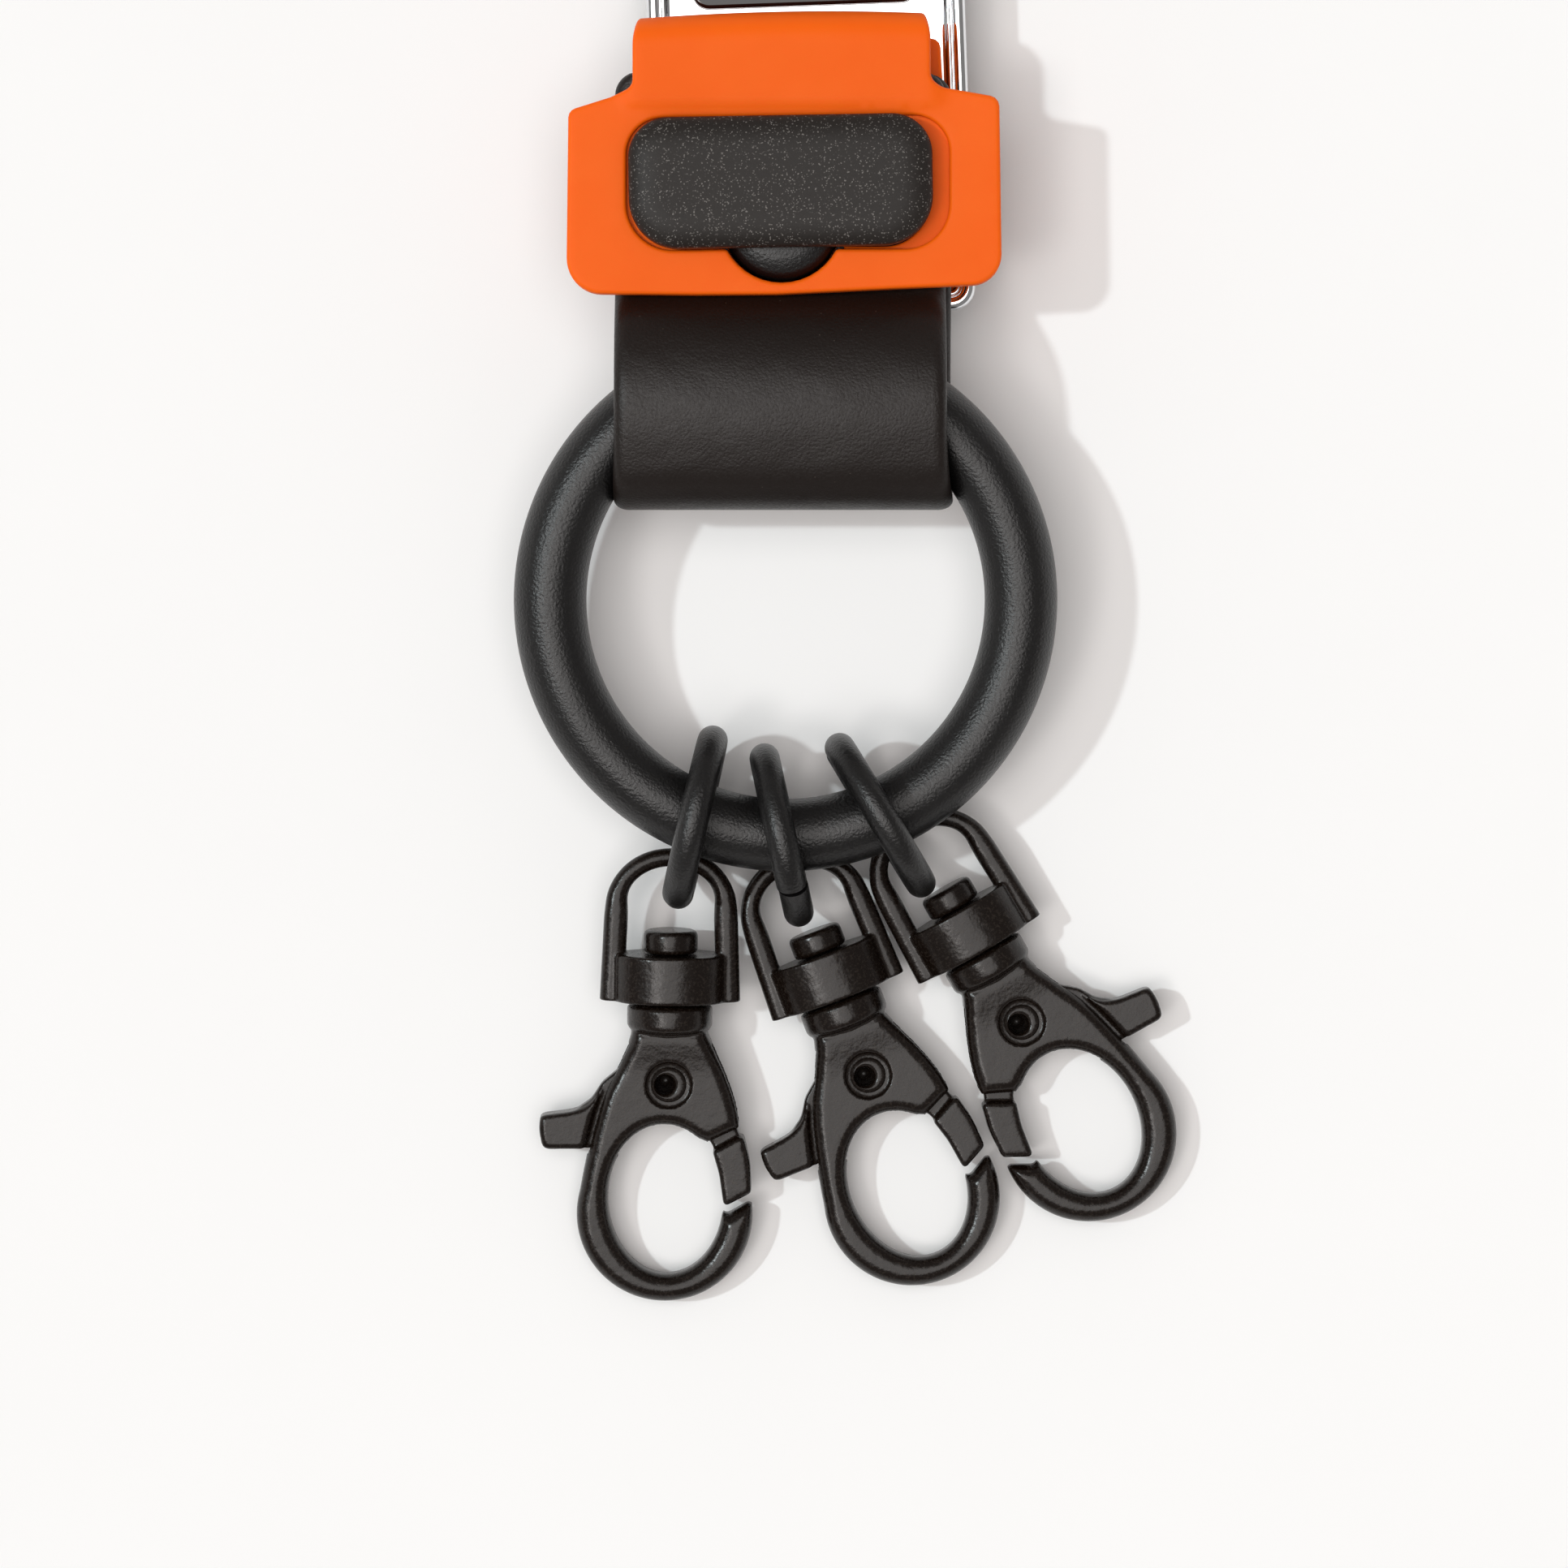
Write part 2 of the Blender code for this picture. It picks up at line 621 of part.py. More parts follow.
def clip_inlay(frame, material, parts):
    """The gloss panel set in the upper tray."""
    top = PLATE_TOP_Y - INLAY_TOP_MARGIN
    half = INLAY_WIDTH / 2
    outline = rounded_rectangle((-half, top - INLAY_LENGTH), (half, top), INLAY_CORNER)
    height = TRAY_FLOOR_Z + SEAT_GAP + INLAY_THICKNESS / 2
    inlay = prism("gloss_inlay", [outline], INLAY_THICKNESS, INLAY_THICKNESS / 4, raised(height))
    return finish_mesh(inlay, material, frame, parts)


def belt_leaf(frame, material, parts, tools):
    """The sprung leaf that grips the belt: flat, with a lip at its tip and two ears on its hinge."""
    pivot = empty("belt_leaf_pivot", frame, Matrix.Translation((0, HINGE_Y, HINGE_Z)), parts)
    back = Matrix.Translation((0, -HINGE_Y, -HINGE_Z))
    half = LEAF_WIDTH / 2
    outline = rounded_rectangle((-half, LEAF_TIP_Y), (half, LEAF_THUMB_Y), LEAF_CORNER)
    leaf = prism("belt_leaf", [outline], LEAF_THICKNESS, 0, back @ raised(LEAF_THICKNESS / 2))
    finish_mesh(leaf, material, pivot, parts)
    lip_half = half - LEAF_CORNER
    lip = block(
        "leaf_lip", (-lip_half, LEAF_TIP_Y, LEAF_THICKNESS / 2),
        (lip_half, LEAF_TIP_Y + LIP_LENGTH, BACKING_Z - RUNNING_GAP), back,
    )
    join(leaf, lip, tools)
    inner = EAR_SPACING - 2 * (EAR_THICKNESS + RUNNING_GAP)
    outline = ear_outline(LEAF_THICKNESS / 2, HINGE_Z + EAR_RADIUS)
    for side in (-1, 1):
        place = back @ Matrix.Translation((side * inner / 2, 0, 0)) @ SIDE_ON
        ear = prism("leaf_ear", [outline], EAR_THICKNESS, 0, place)
        join(leaf, ear, tools)
    bore = rod(
        "leaf_bore", (-inner, HINGE_Y, HINGE_Z), (inner, HINGE_Y, HINGE_Z), HINGE_PIN_RADIUS + SEAT_GAP, back
    )
    cut(leaf, bore, tools)
    return leaf


def hinge_pin(frame, material, parts):
    shank = EAR_SPACING / 2 + EAR_THICKNESS / 2 + SEAT_GAP
    end = shank + PIN_HEAD_LENGTH
    profile = (
        (0, end), (PIN_HEAD_RADIUS, end), (PIN_HEAD_RADIUS, shank), (HINGE_PIN_RADIUS, shank),
        (HINGE_PIN_RADIUS, -shank), (PIN_HEAD_RADIUS, -shank), (PIN_HEAD_RADIUS, -end), (0, -end),
    )
    pin = turned("hinge_pin", profile, Matrix.Translation((0, HINGE_Y, HINGE_Z)) @ ALONG_X)
    return finish_mesh(pin, material, frame, parts)


def spring_lean():
    """How far each leg slopes away from level, so that its end lies on its plate."""
    coil = HINGE_PIN_RADIUS + RUNNING_GAP + SPRING_WIRE_RADIUS
    reach = HINGE_LIFT - SPRING_WIRE_RADIUS - SEAT_GAP
    return math.asin(reach / math.hypot(coil, SPRING_LEG)) - math.atan2(coil, SPRING_LEG)


def clip_spring(frame, material, parts):
    """The torsion spring round the hinge pin: its legs press the leaf and the backing apart."""
    radius = HINGE_PIN_RADIUS + RUNNING_GAP + SPRING_WIRE_RADIUS
    lean = spring_lean()
    start = -math.pi / 2 - lean
    sweep = 2 * math.pi * SPRING_TURNS - math.pi - 2 * lean
    half = SPRING_PITCH * sweep / (4 * math.pi)
    steps = SPRING_TURNS * CURL_STEPS
    points = []
    for i in range(steps + 1):
        angle = start - sweep * i / steps
        points.append((2 * half * i / steps - half, radius * math.cos(angle), radius * math.sin(angle)))
    along = SPRING_LEG * math.cos(lean)
    away = SPRING_LEG * math.sin(lean)
    lower = (points[0][0], points[0][1] + along, points[0][2] - away)
    upper = (points[-1][0], points[-1][1] + along, points[-1][2] + away)
    gap = math.dist(points[0], points[CURL_STEPS]) - 2 * SPRING_WIRE_RADIUS
    print(f"clip spring: least gap between turns {gap / MM:.2f} mm")
    spring = wire(
        "clip_spring", [lower] + points + [upper], SPRING_WIRE_RADIUS,
        Matrix.Translation((0, HINGE_Y, HINGE_Z)), FINE_WIRE_DETAIL,
    )
    return finish_mesh(spring, material, frame, parts)


# Rubber latch

def latch_base(frame, material, parts, tools):
    """The rubber base in the tray, with the fold that rises round the strap's top end."""
    half = BASE_WIDTH / 2
    fold_inside = FOLD_TOP_Y - FOLD_WALL
    outline = rounded_rectangle((-half, BASE_BOTTOM_Y), (half, fold_inside), TAB_TOP_CORNER)
    base = prism("latch_base", [outline], BASE_THICKNESS, RUBBER_EDGE, raised(BASE_Z + BASE_THICKNESS / 2))
    finish_mesh(base, material, frame, parts)
    turned_back = frame.matrix_local.inverted()
    fold = prism(
        "latch_fold", [fold_outline()], NECK_WIDTH, RUBBER_EDGE,
        turned_back @ Matrix.Translation((LATCH_X, 0, 0)) @ SIDE_ON,
    )
    join(base, fold, tools)
    seat = rod(
        "washer_seat", (LATCH_X, PEG_Y, WASHER_Z - SEAT_GAP), (LATCH_X, PEG_Y, BASE_TOP_Z + CUT_OVERRUN),
        WASHER_RADIUS + RUNNING_GAP, turned_back,
    )
    cut(base, seat, tools)
    for name, place, top in rivet_places():
        if top > TRAY_FLOOR_Z:
            hole = rod(
                name + "_hole", (*place, BACKING_Z), (*place, top + CUT_OVERRUN), RIVET_RADIUS + SEAT_GAP
            )
            cut(base, hole, tools)
            sink = rod(
                name + "_sink", (*place, top - RIVET_HEAD_THICKNESS - SEAT_GAP),
                (*place, top + CUT_OVERRUN), RIVET_HEAD_RADIUS + SEAT_GAP,
            )
            cut(base, sink, tools)
    return base


def fold_outline():
    """The fold seen along X: a J of rubber from the base, up its wall, to the hinge line."""
    inner_y = FOLD_TOP_Y - FOLD_WALL
    arm_z = TRAY_TOP_Z + SOFT_GAP
    arm_top = BASE_TOP_Z + SOFT_GAP
    hinge_y = FOLD_HINGE_Y + SOFT_GAP / 2
    inner_radius = FOLD_RADIUS / 2
    points = [(hinge_y + FOLD_ARM_BELOW_HINGE, arm_z)]
    points += arc((FOLD_TOP_Y - FOLD_RADIUS, arm_z + FOLD_RADIUS), FOLD_RADIUS, 270, 360, CORNER_STEPS)
    points += arc((FOLD_TOP_Y - FOLD_RADIUS, TAB_TOP_Z - FOLD_RADIUS), FOLD_RADIUS, 0, 90, CORNER_STEPS)
    points += [(hinge_y, TAB_TOP_Z), (hinge_y, TAB_Z)]
    points += arc((inner_y - inner_radius, TAB_Z - inner_radius), inner_radius, 90, 0, CORNER_STEPS)
    points += arc((inner_y - inner_radius, arm_top + inner_radius), inner_radius, 0, -90, CORNER_STEPS)
    points += [(hinge_y + FOLD_ARM_BELOW_HINGE, arm_top)]
    return points


def window_outline():
    """The latch's window, with the round notch that hooks under the peg's stem."""
    half = PEG_HEAD_WIDTH / 2 + WINDOW_SIDE_GAP
    low = HEAD_LOW_Y - SOFT_GAP
    high = HEAD_HIGH_Y + SOFT_GAP
    left = -half + WINDOW_OFFSET
    right = half + WINDOW_OFFSET
    radius = WINDOW_CORNER
    notch = PEG_STEM_RADIUS + SOFT_GAP
    drop = low - PEG_Y
    meet = math.degrees(math.asin(drop / notch))
    points = arc((left + radius, low + radius), radius, 180, 270, CORNER_STEPS)
    points += arc((0, PEG_Y), notch, 180 - meet, 360 + meet, 4 * CORNER_STEPS)
    points += arc((right - radius, low + radius), radius, 270, 360, CORNER_STEPS)
    points += arc((right - radius, high - radius), radius, 0, 90, CORNER_STEPS)
    points += arc((left + radius, high - radius), radius, 90, 180, CORNER_STEPS)
    return points


def latch_outline():
    """The latch's wide tab and its neck, from the front."""
    tab = TAB_WIDTH / 2
    neck = NECK_WIDTH / 2
    low = PEG_Y - TAB_BELOW_PEG
    shoulder = PEG_Y + TAB_ABOVE_PEG
    top = FOLD_HINGE_Y - SOFT_GAP / 2
    bottom = TAB_BOTTOM_CORNER
    corner = TAB_TOP_CORNER
    fillet = NECK_FILLET
    points = arc((TAB_OFFSET - tab + bottom, low + bottom), bottom, 180, 270, CORNER_STEPS)
    points += arc((TAB_OFFSET + tab - bottom, low + bottom), bottom, 270, 360, CORNER_STEPS)
    points += arc((TAB_OFFSET + tab - corner, shoulder - corner), corner, 0, 90, CORNER_STEPS)
    points += arc((neck + fillet, shoulder + fillet), fillet, 270, 180, CORNER_STEPS)
    points += [(neck, top), (-neck, top)]
    points += arc((-neck - fillet, shoulder + fillet), fillet, 0, -90, CORNER_STEPS)
    points += arc((TAB_OFFSET - tab + corner, shoulder - corner), corner, 90, 180, CORNER_STEPS)
    return points


def latch_tab(latch_frame, material, parts):
    """The latch's front: it lifts off the peg about the fold at its top."""
    pivot = empty("latch_pivot", latch_frame, Matrix.Translation((0, FOLD_HINGE_Y, TAB_TOP_Z)), parts)
    place = Matrix.Translation((0, -FOLD_HINGE_Y, -TAB_THICKNESS / 2))
    tab = prism("latch_tab", [latch_outline(), window_outline()], TAB_THICKNESS, RUBBER_EDGE, place)
    return finish_mesh(tab, material, pivot, parts)


# Peg

def latch_peg(latch_frame, material, parts, tools):
    """The peg: a rounded oblong head on a round stem, with a spigot through its washer."""
    half = PEG_HEAD_WIDTH / 2
    outline = rounded_rectangle((-half, HEAD_LOW_Y), (half, HEAD_HIGH_Y), PEG_HEAD_CORNER)
    stem_top = PEG_HEAD_Z + PEG_HEAD_THICKNESS / 2
    head = prism("latch_peg", [outline], PEG_HEAD_THICKNESS, PEG_HEAD_EDGE, raised(stem_top), WIRE_DETAIL)
    finish_mesh(head, material, latch_frame, parts)
    shoulder = STRAP_BACK_Z - SEAT_GAP / 2
    crown = PEG_HEAD_Z - PEG_CROWN
    profile = (
        (0, stem_top), (PEG_SPIGOT_RADIUS, stem_top), (PEG_SPIGOT_RADIUS + PEG_CROWN, crown + PEG_CROWN / 2),
        (PEG_STEM_RADIUS - PEG_CROWN, crown), (PEG_STEM_RADIUS, crown - PEG_CROWN),
        (PEG_STEM_RADIUS, shoulder), (PEG_SPIGOT_RADIUS, shoulder),
        (PEG_SPIGOT_RADIUS, WASHER_Z), (0, WASHER_Z),
    )
    stem = turned("peg_stem", profile, Matrix.Translation((0, PEG_Y, 0)))
    join(head, stem, tools)
    return head


def peg_washer(latch_frame, material, parts):
    inner = PEG_SPIGOT_RADIUS + SEAT_GAP
    top = WASHER_Z + WASHER_THICKNESS
    profile = ((inner, top), (WASHER_RADIUS, top), (WASHER_RADIUS, WASHER_Z), (inner, WASHER_Z))
    washer = turned("peg_washer", profile, Matrix.Translation((0, PEG_Y, 0)), closed=True)
    return finish_mesh(washer, material, latch_frame, parts)


# Strap

def strap_legs(latch_frame, material, parts):
    """The strap's two upper layers, buttoned on the peg's stem."""
    half = STRAP_WIDTH / 2
    low = STRAP_JOINT_Y + STRAP_JOINT_GAP / 2
    outline = rounded_rectangle((-half, low), (half, STRAP_TOP_Y), RUBBER_EDGE, STRAP_CORNER)
    hole = arc((0, PEG_Y), PEG_STEM_RADIUS + RUNNING_GAP, 0, 360, STRAP_HOLE_STEPS)[:-1]
    for name, height in (("strap_back_leg", STRAP_BACK_Z), ("strap_front_leg", STRAP_FRONT_Z)):
        leg = prism(name, [outline, hole], STRAP_THICKNESS, RUBBER_EDGE, raised(height + STRAP_THICKNESS / 2))
        finish_mesh(leg, material, latch_frame, parts)


def tangent_angles(point, centre, radius):
    """The two angles, from the centre, at which a line from a point touches a circle."""
    away = Vector((point[0] - centre[0], point[1] - centre[1]))
    facing = math.degrees(math.atan2(away.y, away.x))
    spread = math.degrees(math.acos(radius / away.length))
    return facing + spread, facing - spread


def strap_loop(latch_frame, material, parts):
    """The strap's loop: a block of both layers that opens into the pocket round the ring's tube."""
    pivot = empty("strap_pivot", latch_frame, Matrix.Translation((0, STRAP_JOINT_Y, STRAP_TOP_Z)), parts)
    inner = RING_TUBE_RADIUS + SOFT_GAP + RUNNING_GAP
    outer = inner + STRAP_THICKNESS
    top = (RING_TOP_Y, RING_TOP_Z)
    down = (LOOP_POCKET_LENGTH * math.cos(RING_TILT), LOOP_POCKET_LENGTH * math.sin(RING_TILT))
    bottom = (RING_TOP_Y - down[0], RING_TOP_Z - down[1])
    tilt = math.degrees(RING_TILT)
    end_y = STRAP_JOINT_Y - STRAP_JOINT_GAP / 2
    front = (end_y, STRAP_TOP_Z)
    back = (end_y, STRAP_BACK_Z)
    front_angle = tangent_angles(front, top, outer)[0]
    back_angle = tangent_angles(back, top, outer)[1]
    outline = [front]
    outline += arc(top, outer, front_angle, 90 + tilt, CORNER_STEPS)
    outline += arc(bottom, outer, 90 + tilt, 270 + tilt, 4 * CORNER_STEPS)
    outline += arc(top, outer, 270 + tilt, 360 + back_angle, CORNER_STEPS)
    outline += [back]
    hole = arc(bottom, inner, 90 + tilt, 270 + tilt, 3 * CORNER_STEPS)
    hole += arc(top, inner, -90 + tilt, 90 + tilt, 3 * CORNER_STEPS)
    place = Matrix.Translation((0, -STRAP_JOINT_Y, -STRAP_TOP_Z)) @ SIDE_ON
    loop = prism("strap_loop", [outline, hole], STRAP_WIDTH, RUBBER_EDGE, place)
    return finish_mesh(loop, material, pivot, parts)


# Big ring

def big_ring(material, parts):
    bpy.ops.mesh.primitive_torus_add(
        major_radius=RING_RADIUS, minor_radius=RING_TUBE_RADIUS, major_segments=RING_STEPS,
        minor_segments=RING_SIDES,
    )
    made = bpy.context.active_object
    shape = made.data
    bpy.data.objects.remove(made, do_unlink=True)
    ring = bpy.data.objects.new("big_ring", shape)
    ring.matrix_local = ring_matrix()
    return finish_mesh(ring, material, None, parts)


# Chains: a jump ring, a swivel bail and a clasp

def jump_ring(number, chain, material, parts):
    """A split ring of round wire whose two ends nearly meet."""
    split = math.degrees(JUMP_SPLIT / JUMP_RADIUS)
    start = chain["split"] + split / 2
    points = [(x, y, 0) for x, y in arc((0, 0), JUMP_RADIUS, start, start + 360 - split, JUMP_STEPS)]
    ring = wire(f"jump_ring_{number}", points, JUMP_WIRE_RADIUS, jump_matrix(chain))
    return finish_mesh(ring, material, None, parts)


def bail_path():
    """The bail's wire, from one foot over its arched top to the other."""
    points = [(-BAIL_HALF_WIDTH, -BARREL_HALF_LENGTH, 0), (-BAIL_HALF_WIDTH, BARREL_HALF_LENGTH, 0)]
    steps = 4 * CORNER_STEPS
    for i in range(steps + 1):
        angle = math.pi * i / steps
        rise = (BAIL_REACH - BAIL_SHOULDER) * math.sin(angle)
        points.append((-BAIL_HALF_WIDTH * math.cos(angle), BAIL_SHOULDER + rise, 0))
    points += [(BAIL_HALF_WIDTH, BARREL_HALF_LENGTH, 0), (BAIL_HALF_WIDTH, -BARREL_HALF_LENGTH, 0)]
    return points


def swivel_bail(number, frame, material, parts, tools):
    """The bail: an arch of wire joined by two lugs to the barrel that the swivel pin turns in."""
    bail = wire(f"bail_{number}", bail_path(), BAIL_WIRE_RADIUS, Matrix())
    finish_mesh(bail, material, frame, parts)
    thick = BAIL_WIRE_RADIUS - BARREL_EDGE / 2
    long = BARREL_HALF_LENGTH - BARREL_EDGE / 2
    lug = block("bail_lug", (-BAIL_HALF_WIDTH, -long, -thick), (BAIL_HALF_WIDTH, long, thick))
    join(bail, lug, tools)
    rim = BARREL_RADIUS - BARREL_EDGE
    end = BARREL_HALF_LENGTH
    shoulder = end - BARREL_EDGE
    profile = (
        (0, end), (rim, end), (BARREL_RADIUS, shoulder), (BARREL_RADIUS, -shoulder), (rim, -end), (0, -end),
    )
    barrel = turned("bail_barrel", profile, ALONG_Y)
    join(bail, barrel, tools)
    reach = BARREL_HALF_LENGTH + CUT_OVERRUN
    bore = rod("bail_bore", (0, -reach, 0), (0, reach, 0), SWIVEL_SHANK_RADIUS + RUNNING_GAP)
    cut(bail, bore, tools)
    return bail


def swivel_pin(number, frame, material, parts):
    """The pin that the clasp turns on: a head over the barrel and a shank set in the clasp's neck."""
    seat = BARREL_HALF_LENGTH + SEAT_GAP
    end = seat + SWIVEL_HEAD_LENGTH
    tail = -(BARREL_HALF_LENGTH + SEAT_GAP + SWIVEL_SEAT_DEPTH)
    rim = SWIVEL_HEAD_RADIUS - SWIVEL_HEAD_EDGE
    profile = (
        (0, end), (rim, end), (SWIVEL_HEAD_RADIUS, end - SWIVEL_HEAD_EDGE), (SWIVEL_HEAD_RADIUS, seat),
        (SWIVEL_SHANK_RADIUS, seat), (SWIVEL_SHANK_RADIUS, tail), (0, tail),
    )
    pin = turned(f"swivel_pin_{number}", profile, ALONG_Y)
    return finish_mesh(pin, material, frame, parts)


def body_outline(side):
    """The clasp's body and hook from the front, in one open C with its eye."""
    points = clasp_points(BODY_RIGHT_SHARES, side)
    points += clasp_points([CHEEK_END_SHARES], side)
    points += clasp_arc(EYE_TOP_CENTRE_SHARES, EYE_TOP_SHARE, *EYE_TOP_ARC, EYE_TOP_STEPS, side)
    points += clasp_arc(HOOK_CENTRE_SHARES, HOOK_INNER_SHARE, *HOOK_INNER_ARC, HOOK_INNER_STEPS, side)
    points += clasp_points(HOOK_TIP_SHARES, side)
    points += clasp_arc(HOOK_CENTRE_SHARES, HOOK_OUTER_SHARE, *HOOK_OUTER_ARC, HOOK_OUTER_STEPS, side)
    points += clasp_points(BODY_LEFT_SHARES, side)
    return points


def clasp_body(number, frame, side, material, parts, tools):
    """The cast body: neck, two cheeks round the lever's slot, and the open hook."""
    body = prism(f"clasp_body_{number}", [body_outline(side)], CLASP_THICKNESS, CLASP_EDGE, Matrix())
    finish_mesh(body, material, frame, parts)
    top = -(BARREL_HALF_LENGTH + SEAT_GAP)
    collar = top - COLLAR_LENGTH
    waist = collar - WAIST_LENGTH
    edge = BARREL_EDGE
    profile = (
        (0, top), (COLLAR_RADIUS - edge, top), (COLLAR_RADIUS, top - edge), (COLLAR_RADIUS, collar + edge),
        (WAIST_RADIUS, collar), (WAIST_RADIUS, waist), (0, waist),
    )
    neck = turned("clasp_neck", profile, ALONG_Y)
    join(body, neck, tools)
    depth = top - SWIVEL_SEAT_DEPTH - SEAT_GAP
    seat = rod("pin_seat", (0, top + CUT_OVERRUN, 0), (0, depth, 0), SWIVEL_SHANK_RADIUS + SEAT_GAP)
    cut(body, seat, tools)
    slot_low = -SLOT_SHARES[1] * CLASP_REACH
    slot_high = -SLOT_SHARES[0] * CLASP_REACH
    half = SLOT_HEIGHT / 2
    slot = block("lever_slot", (-CLASP_REACH, slot_low, -half), (CLASP_REACH, slot_high, half))
    cut(body, slot, tools)
    across, along = clasp_point(RIVET_PLACE_SHARES, side)
    reach = CLASP_THICKNESS / 2 + CUT_OVERRUN
    hole = rod("rivet_hole", (across, along, -reach), (across, along, reach), CLASP_RIVET_RADIUS + SEAT_GAP)
    cut(body, hole, tools)
    return body


def clasp_lever(number, frame, side, material, parts, tools):
    """The lever: a thin plate in the slot, with a thick gate at one end and a thumb pad at the other."""
    across, along = clasp_point(RIVET_PLACE_SHARES, side)
    pivot = empty(f"lever_pivot_{number}", frame, Matrix.Translation((across, along, 0)), parts)
    back = Matrix.Translation((-across, -along, 0))
    outline = clasp_arc(RIVET_PLACE_SHARES, LEVER_HUB_SHARE, *LEVER_HUB_ARC, CORNER_STEPS, side)
    outline += clasp_points(LEVER_RIGHT_SHARES, side)
    outline += clasp_points(LEVER_LEFT_SHARES, side)
    lever = prism(f"lever_{number}", [outline], LEVER_THICKNESS, 0, back)
    finish_mesh(lever, material, pivot, parts)
    for name, shares in (("lever_gate", GATE_SHARES), ("lever_thumb", THUMB_SHARES)):
        pad = prism(name, [clasp_points(shares, side)], LEVER_PAD_THICKNESS, LEVER_EDGE, back)
        join(lever, pad, tools)
    reach = LEVER_PAD_THICKNESS
    bore = rod("lever_bore", (0, 0, -reach), (0, 0, reach), CLASP_RIVET_RADIUS + SEAT_GAP)
    cut(lever, bore, tools)
    pocket_radius = CLASP_RIVET_RADIUS + 2 * RUNNING_GAP + 2 * LEVER_SPRING_WIRE
    floor = LEVER_THICKNESS / 2 - LEVER_SPRING_POCKET_DEPTH
    pocket = rod("spring_pocket", (0, 0, floor), (0, 0, reach), pocket_radius)
    cut(lever, pocket, tools)
    return pivot


def lever_spring(number, pivot, side, material, parts):
    """The small wire spring looped round the rivet in the lever's pocket, with a leg to the neck."""
    radius = CLASP_RIVET_RADIUS + RUNNING_GAP + LEVER_SPRING_WIRE
    height = LEVER_THICKNESS / 2 - LEVER_SPRING_POCKET_DEPTH / 2
    turns = arc((0, 0), radius, *LEVER_SPRING_ARC, 3 * CORNER_STEPS)
    points = [(side * x, y, height) for x, y in turns]
    spring = wire(f"lever_spring_{number}", points, LEVER_SPRING_WIRE, Matrix(), FINE_WIRE_DETAIL)
    return finish_mesh(spring, material, pivot, parts)


def lever_rivet(number, frame, side, material, parts):
    """The tubular rivet through the cheeks and the lever, its bore open at the front."""
    across, along = clasp_point(RIVET_PLACE_SHARES, side)
    face = CLASP_THICKNESS / 2 + SEAT_GAP
    top = face + CLASP_RIVET_PROUD
    bore = CLASP_RIVET_BORE
    head = CLASP_RIVET_HEAD_RADIUS
    shank = CLASP_RIVET_RADIUS
    profile = (
        (0, 0), (bore, 0), (bore, top), (head, top), (head, face), (shank, face),
        (shank, -face), (head, -face), (head, -top), (0, -top),
    )
    rivet = turned(f"lever_rivet_{number}", profile, Matrix.Translation((across, along, 0)))
    return finish_mesh(rivet, material, frame, parts)


def main():
    clear_scene()
    parts = new_collection("key_ring")
    tools = new_collection("cutters")
    chrome = make_material("chrome_plate", (0.8, 0.81, 0.83), 0.08, 1.0)
    steel = make_material("spring_steel", (0.5, 0.5, 0.52), 0.3, 1.0)
    backing = make_material("black_backing", (0.02, 0.02, 0.02), 0.5, 0.0)
    gloss = make_material("gloss_panel", (0.01, 0.01, 0.012), 0.05, 0.0)
    orange = make_material("orange_rubber", (0.9, 0.14, 0.02), 0.55, 0.0)
    black_rubber = make_material("black_rubber", (0.014, 0.013, 0.013), 0.5, 0.0)
    matte = make_material("matte_black_ring", (0.013, 0.013, 0.013), 0.45, 0.3)
    peg_black = make_material("sanded_black", (0.03, 0.028, 0.027), 0.7, 0.1)
    clasp_black = make_material("clasp_black", (0.012, 0.01, 0.009), 0.35, 0.6)

    clip_frame = empty("clip_frame", None, Matrix.Rotation(CLIP_TURN, 4, "Z"), parts)
    clip_tray(clip_frame, chrome, parts, tools)
    clip_backing(clip_frame, backing, parts, tools)
    clip_inlay(clip_frame, gloss, parts)
    clip_rivets(clip_frame, steel, parts)
    belt_leaf(clip_frame, steel, parts, tools)
    hinge_pin(clip_frame, steel, parts)
    clip_spring(clip_frame, steel, parts)

    latch_frame = empty("latch_frame", None, Matrix.Translation((LATCH_X, 0, 0)), parts)
    latch_base(clip_frame, orange, parts, tools)
    latch_tab(latch_frame, orange, parts)
    latch_peg(latch_frame, peg_black, parts, tools)
    peg_washer(latch_frame, steel, parts)
    strap_legs(latch_frame, black_rubber, parts)
    strap_loop(latch_frame, black_rubber, parts)
    big_ring(matte, parts)

    for number, chain in enumerate(CHAINS, start=1):
        side = chain["side"]
        frame = empty(f"chain_frame_{number}", None, chain_matrix(chain), parts)
        jump_ring(number, chain, matte, parts)
        swivel_bail(number, frame, clasp_black, parts, tools)
        swivel_pin(number, frame, clasp_black, parts)
        clasp_body(number, frame, side, clasp_black, parts, tools)
        pivot = clasp_lever(number, frame, side, clasp_black, parts, tools)
        lever_spring(number, pivot, side, steel, parts)
        lever_rivet(number, frame, side, clasp_black, parts)


main()
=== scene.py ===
"""The looks of a key ring: belt clip, rubber latch on its peg, strap, big ring and three swivel clasps.

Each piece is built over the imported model, in its frame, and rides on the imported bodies.
Lengths in tables are in millimetres; every mesh is in metres.
"""

